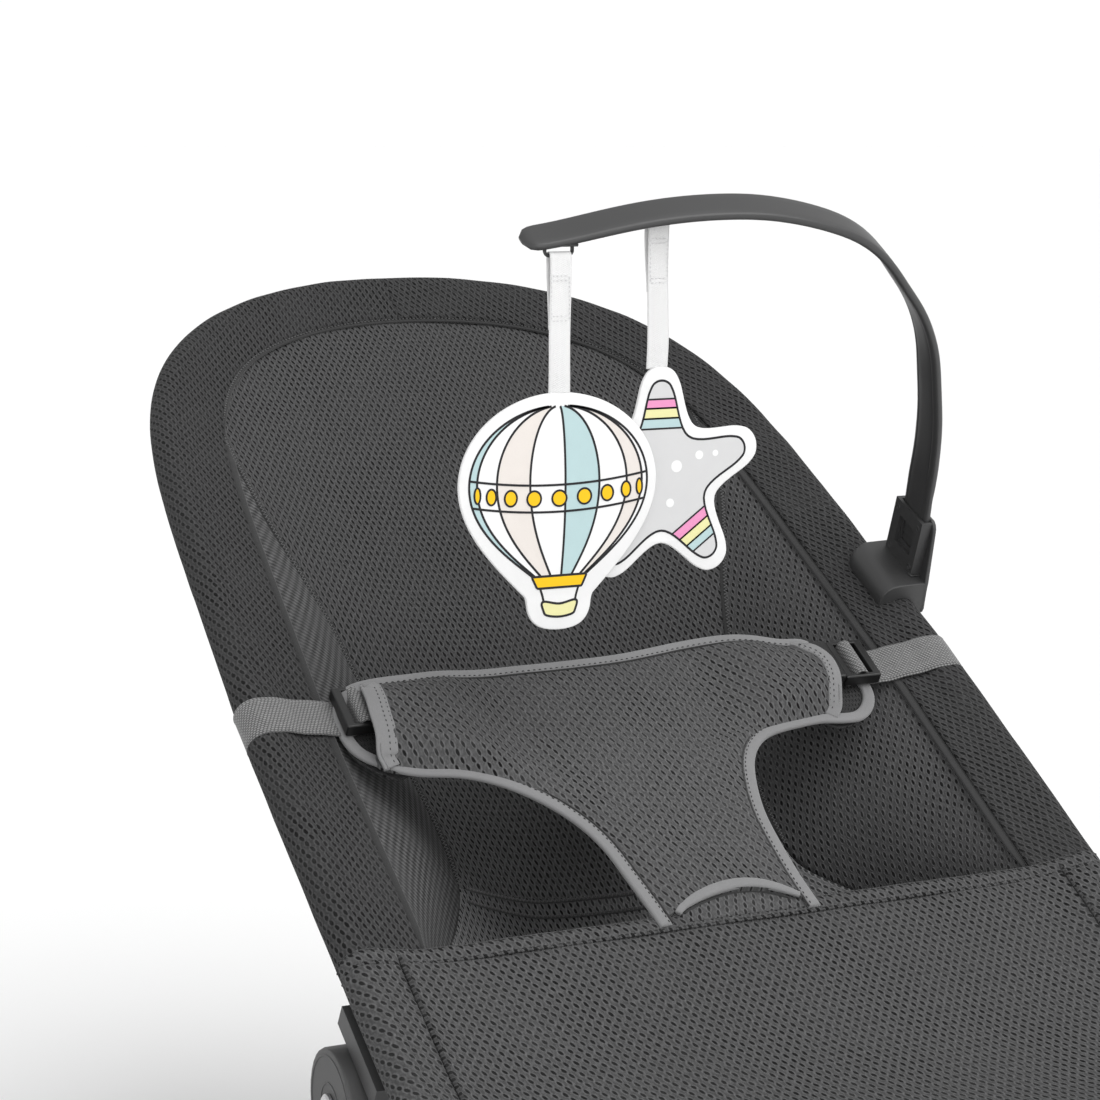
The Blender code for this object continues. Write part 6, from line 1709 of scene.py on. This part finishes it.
def smooth_closed(points, count):
    """Closed Catmull-Rom through the points."""
    p = np.asarray(points, float)
    n = len(p)
    out = []
    for i in range(n):
        a, b, c, d = p[i - 1], p[i], p[(i + 1) % n], p[(i + 2) % n]
        for q in np.linspace(0, 1, count, endpoint=False):
            m0, m1 = (c - a) * 0.5, (d - b) * 0.5
            out.append((2 * q ** 3 - 3 * q * q + 1) * b + (q ** 3 - 2 * q * q + q) * m0 + (-2 * q ** 3 + 3 * q * q) * c + (q ** 3 - q * q) * m1)
    return np.array(out)


def close_resample(loop, step):
    q = resample(np.concatenate([loop, loop[:1]]), step)[:-1]
    return q


def fill_outline(name, loops, y, body, mat, thick, bulge=0.0, slot="toy_fabric", offset=-1.0):
    """A die cut shape from outlines in the toy's plane: edges rounded, faces filled."""
    cu = bpy.data.curves.new(name, "CURVE")
    cu.dimensions = "2D"
    cu.fill_mode = "BOTH"
    cu.extrude = max(thick / 2 - bulge, 0.00002)
    cu.bevel_depth = bulge
    cu.bevel_resolution = 3
    for loop in loops:
        sp = cu.splines.new("POLY")
        sp.points.add(len(loop) - 1)
        sp.points.foreach_set("co", np.concatenate([loop, np.zeros((len(loop), 1)), np.ones((len(loop), 1))], 1).astype(np.float32).ravel())
        sp.use_cyclic_u = True
    tmp = bpy.data.objects.new(name + "_c", cu)
    collection.objects.link(tmp)
    bpy.context.view_layer.update()
    me = bpy.data.meshes.new_from_object(tmp.evaluated_get(bpy.context.evaluated_depsgraph_get()))
    bpy.data.objects.remove(tmp)
    bpy.data.curves.remove(cu)
    me.name = name
    bm = bmesh.new()
    bm.from_mesh(me)
    bmesh.ops.remove_doubles(bm, verts=bm.verts[:], dist=1e-6)
    bm.to_mesh(me)
    bm.free()
    me.transform(Matrix(((1, 0, 0, 0), (0, 0, -1, y), (0, 1, 0, 0), (0, 0, 0, 1))))
    me.materials.clear()
    me.shade_smooth()
    me.set_sharp_from_angle(angle=math.radians(50))
    o = new_object(name, me, mat)
    place(o, body, slot=slot)
    return o


def thin_line(name, pts, y_face, body, width=0.00115, lift=0.00012, sign=-1.0, closed=False):
    """A printed line: a flat strip just proud of the felt."""
    pts = np.asarray(pts, float)
    path = np.stack([pts[:, 0], np.full(len(pts), y_face + sign * lift), pts[:, 1]], 1)
    o = sweep(name, path, np.broadcast_to(np.array((0, sign, 0.0)), path.shape), stadium(width, 0.00016, 3), M["ink"], closed_path=closed, angle=180)
    place(o, body, slot="toy_fabric")
    return o


# balloon: a body with coloured panels, a belt and a basket
c = LUGS["balloon"]
oy, oz = c[1], STRAP_HEIGHT + BALLOON_TOP
half = [(0.0515 * math.cos(math.radians(a)), -0.0430 + 0.0430 * math.sin(math.radians(a))) for a in range(84, -1, -4)]
half += [tuple(p) for p in bezier(((0.0515, -0.0430), (0.0515, -0.0660), (0.0280, -0.0860), (0.0172, -0.0975)), np.linspace(0.06, 1, 16))]
half += [(0.0163, -0.1010), (0.0158, -0.1045), (0.0140, -0.1085), (0.0110, -0.1114), (0.0070, -0.1130), (0.0025, -0.1137)]
half = np.array(half)
outline = np.concatenate([half, (half * (-1, 1))[::-1], [(0.0, 0.0)]])
outline = close_resample(smooth_closed(outline, 4), 0.0014) + (c[0], oz)
body_piece = fill_outline("balloon_felt", [outline], oy, "balloon", M["felt"], THICK, 0.0007)
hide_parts("toy_balloon")

PRINT_TOP, BELT = -0.0055, -0.0880


def print_half(v):
    """Half width of the printed balloon at a depth v below the toy's top."""
    if v > -0.0430:
        return 0.0470 * math.sqrt(max(0.0, 1 - ((v + 0.0430) / 0.0375) ** 2))
    q = bezier(((0.0470, -0.0430), (0.0470, -0.0640), (0.0250, -0.0790), (0.0138, BELT)), np.linspace(0, 1, 60))
    return float(np.interp(-v, -q[:, 1], q[:, 0]))


EDGES = (-90, -66, -44, -19, 4, 27, 50, 70, 90)
TINTS = ("teal", "felt_white", "sand", "felt_white", "teal", "felt_white", "sand", "felt_white")
V = np.concatenate([PRINT_TOP - 0.0003 - 0.0127 * np.linspace(0, 1, 22) ** 2.0, np.linspace(-0.0190, BELT, 56)])
W = np.array([print_half(v) for v in V])


def gore_x(angle):
    return W * math.sin(math.radians(angle)) * (1.0) + 0.0


for sign, face in ((-1.0, "front"), (1.0, "rear")):
    fy = oy + sign * THICK / 2
    for k, tint in enumerate(TINTS):
        lo, hi = gore_x(EDGES[k]), gore_x(EDGES[k + 1])
        f_ = np.linspace(0, 1, 7)
        X = lo[:, None] * (1 - f_) + hi[:, None] * f_
        P = np.stack([c[0] + X, np.full(X.shape, fy + sign * 0.00006), oz + np.broadcast_to(V[:, None], X.shape)], -1)
        o = cloth("balloon_panel_%s_%d" % (face, k), P, M[tint], None, 0.0, angle=180)
        place(o, "balloon", slot="toy_fabric")
    for k, a in enumerate(EDGES):
        pts = np.stack([c[0] + gore_x(a), oz + V], 1)
        thin_line("balloon_line_%s_%d" % (face, k), pts, fy, "balloon", sign=sign)
    # belt, ropes and basket
    belt = np.array([(-0.0146, BELT + 0.0002), (0.0146, BELT + 0.0002), (0.0118, BELT - 0.0056), (-0.0118, BELT - 0.0056)]) + (c[0], oz)
    belt = close_resample(belt, 0.0010)
    o = fill_outline("balloon_belt_" + face, [belt], fy + sign * 0.00010, "balloon", M["yellow"], 0.00012)
    thin_line("balloon_belt_line_" + face, belt, fy, "balloon", sign=sign, closed=True, lift=0.0002)
    for j, sx in enumerate((-1, 1)):
        pts = np.array([(c[0] + sx * 0.0102, oz + BELT - 0.0056), (c[0] + sx * 0.0090, oz + BELT - 0.0092), (c[0] + sx * 0.0082, oz + BELT - 0.0128)])
        thin_line("balloon_rope_%s_%d" % (face, j), resample(pts, 0.001), fy, "balloon", sign=sign)
    basket = smooth_closed(np.array([(-0.0088, BELT - 0.0122), (0.0, BELT - 0.0136), (0.0088, BELT - 0.0122), (0.0084, BELT - 0.0168), (0.0066, BELT - 0.0190), (0.0, BELT - 0.0200), (-0.0066, BELT - 0.0190), (-0.0084, BELT - 0.0168)]), 6) + (c[0], oz)
    o = fill_outline("balloon_basket_" + face, [basket], fy + sign * 0.00010, "balloon", M["cream"], 0.00012)
    thin_line("balloon_basket_line_" + face, basket, fy, "balloon", sign=sign, closed=True, lift=0.0002)
    # a band of dots across the middle, between two fine lines
    for j, v0 in enumerate((-0.0395, -0.0525)):
        w0 = print_half(v0)
        xs = np.linspace(-w0 * 0.992, w0 * 0.992, 60)
        pts = np.stack([c[0] + xs, oz + v0 - 0.0042 * (1 - (xs / w0) ** 2)], 1)
        thin_line("balloon_band_%s_%d" % (face, j), pts, fy, "balloon", sign=sign, lift=0.00022, width=0.0011)
    for j, a in enumerate(np.linspace(-66, 66, 9)):
        w0 = print_half(-0.046)
        x = w0 * math.sin(math.radians(a))
        z = -0.0460 - 0.0042 * (1 - (x / w0) ** 2)
        squash = max(0.30, math.cos(math.radians(a)))
        t_ = np.linspace(0, 2 * math.pi, 25)[:-1]
        dot = np.stack([c[0] + x + 0.0038 * squash * np.cos(t_), oz + z + 0.0038 * np.sin(t_)], 1)
        o = fill_outline("balloon_dot_%s_%d" % (face, j), [dot], fy + sign * 0.00014, "balloon", M["yellow"], 0.00014)
        thin_line("balloon_dot_line_%s_%d" % (face, j), dot, fy, "balloon", sign=sign, closed=True, lift=0.00026, width=0.0010)

# star: a grey printed star on a white border, with pale bands on two of its points
c = LUGS["star"]
oy, oz = c[1], STRAP_HEIGHT + STAR_TOP
CX, CZ = 0.0026, -0.0546


def star_loop(tip, shoulder, notch, wide=11.0, narrow=4.0):
    out = []
    for k in range(5):
        a = 90 - 72 * k
        for j, rr in ((-wide, shoulder), (-narrow, tip), (narrow, tip), (wide, shoulder)):
            b = math.radians(a - j)
            out.append((rr * math.cos(b), rr * math.sin(b)))
        b = math.radians(a - 36)
        out.append((notch * math.cos(b), notch * math.sin(b)))
    return np.array(out)


outer = close_resample(smooth_closed(star_loop(0.0543, 0.0490, 0.0310), 8), 0.0014) + (CX + c[0], CZ + oz)
o = fill_outline("star_felt", [outer], oy, "star", M["felt"], THICK, 0.0007, slot="star_fabric")
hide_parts("toy_star")
inner = star_loop(0.0480, 0.0430, 0.0252, 9.0, 3.4)
inner = close_resample(soften(np.concatenate([smooth_closed(inner, 8)] * 2), 1)[: len(inner) * 8], 0.0010)
centre_star = np.array((CX + c[0], CZ + oz))


def star_band(a_deg, r0, r1):
    """The part of the printed star between two distances along one of its points."""
    a = math.radians(a_deg)
    d = np.array((math.cos(a), math.sin(a)))
    k = np.array((-d[1], d[0]))
    u, v = inner @ d, inner @ k
    def width_at(r):
        near = [abs(vv) for uu, vv in zip(u, v) if abs(uu - r) < 0.0008 and abs(vv) < 0.02]
        return (max(near) if near else 0.004) - 0.0002
    rs = np.linspace(r0, r1, 7)
    left = [d * r + k * width_at(r) for r in rs]
    right = [d * r - k * width_at(r) for r in rs[::-1]]
    return np.array(left + right) + centre_star


for sign, face in ((-1.0, "front"), (1.0, "rear")):
    fy = oy + sign * THICK / 2
    o = fill_outline("star_print_" + face, [inner + centre_star], fy + sign * 0.00004, "star", M["print_grey"], 0.00010, slot="star_fabric")
    thin_line("star_line_" + face, inner + centre_star, fy, "star", sign=sign, closed=True, lift=0.00012, width=0.00115)
    for j, (a_deg, r0, r1, tint) in enumerate(((90, 0.0250, 0.0300, "teal"), (90, 0.0300, 0.0350, "cream"), (90, 0.0350, 0.0395, "pink"),
                                               (-54, 0.0260, 0.0310, "pink"), (-54, 0.0310, 0.0360, "cream"), (-54, 0.0360, 0.0405, "teal"))):
        loop = close_resample(star_band(a_deg, r0, r1), 0.0008)
        o = fill_outline("star_band_%s_%d" % (face, j), [loop], fy + sign * 0.00011, "star", M[tint], 0.00010, slot="star_fabric")
        thin_line("star_band_line_%s_%d" % (face, j), loop, fy, "star", sign=sign, closed=True, lift=0.0002, width=0.0009)
    for j, (x, z, r) in enumerate(((0.0085, 0.0060, 0.0030), (0.0210, 0.0110, 0.0022), (0.0050, -0.0120, 0.0022), (0.0300, 0.0115, 0.0016), (-0.0100, 0.0030, 0.0026))):
        t_ = np.linspace(0, 2 * math.pi, 25)[:-1]
        dot = np.stack([r * np.cos(t_) + x, r * np.sin(t_) + z], 1) + centre_star
        o = fill_outline("star_dot_%s_%d" % (face, j), [dot], fy + sign * 0.00010, "star", M["felt_white"], 0.00012, slot="star_fabric")
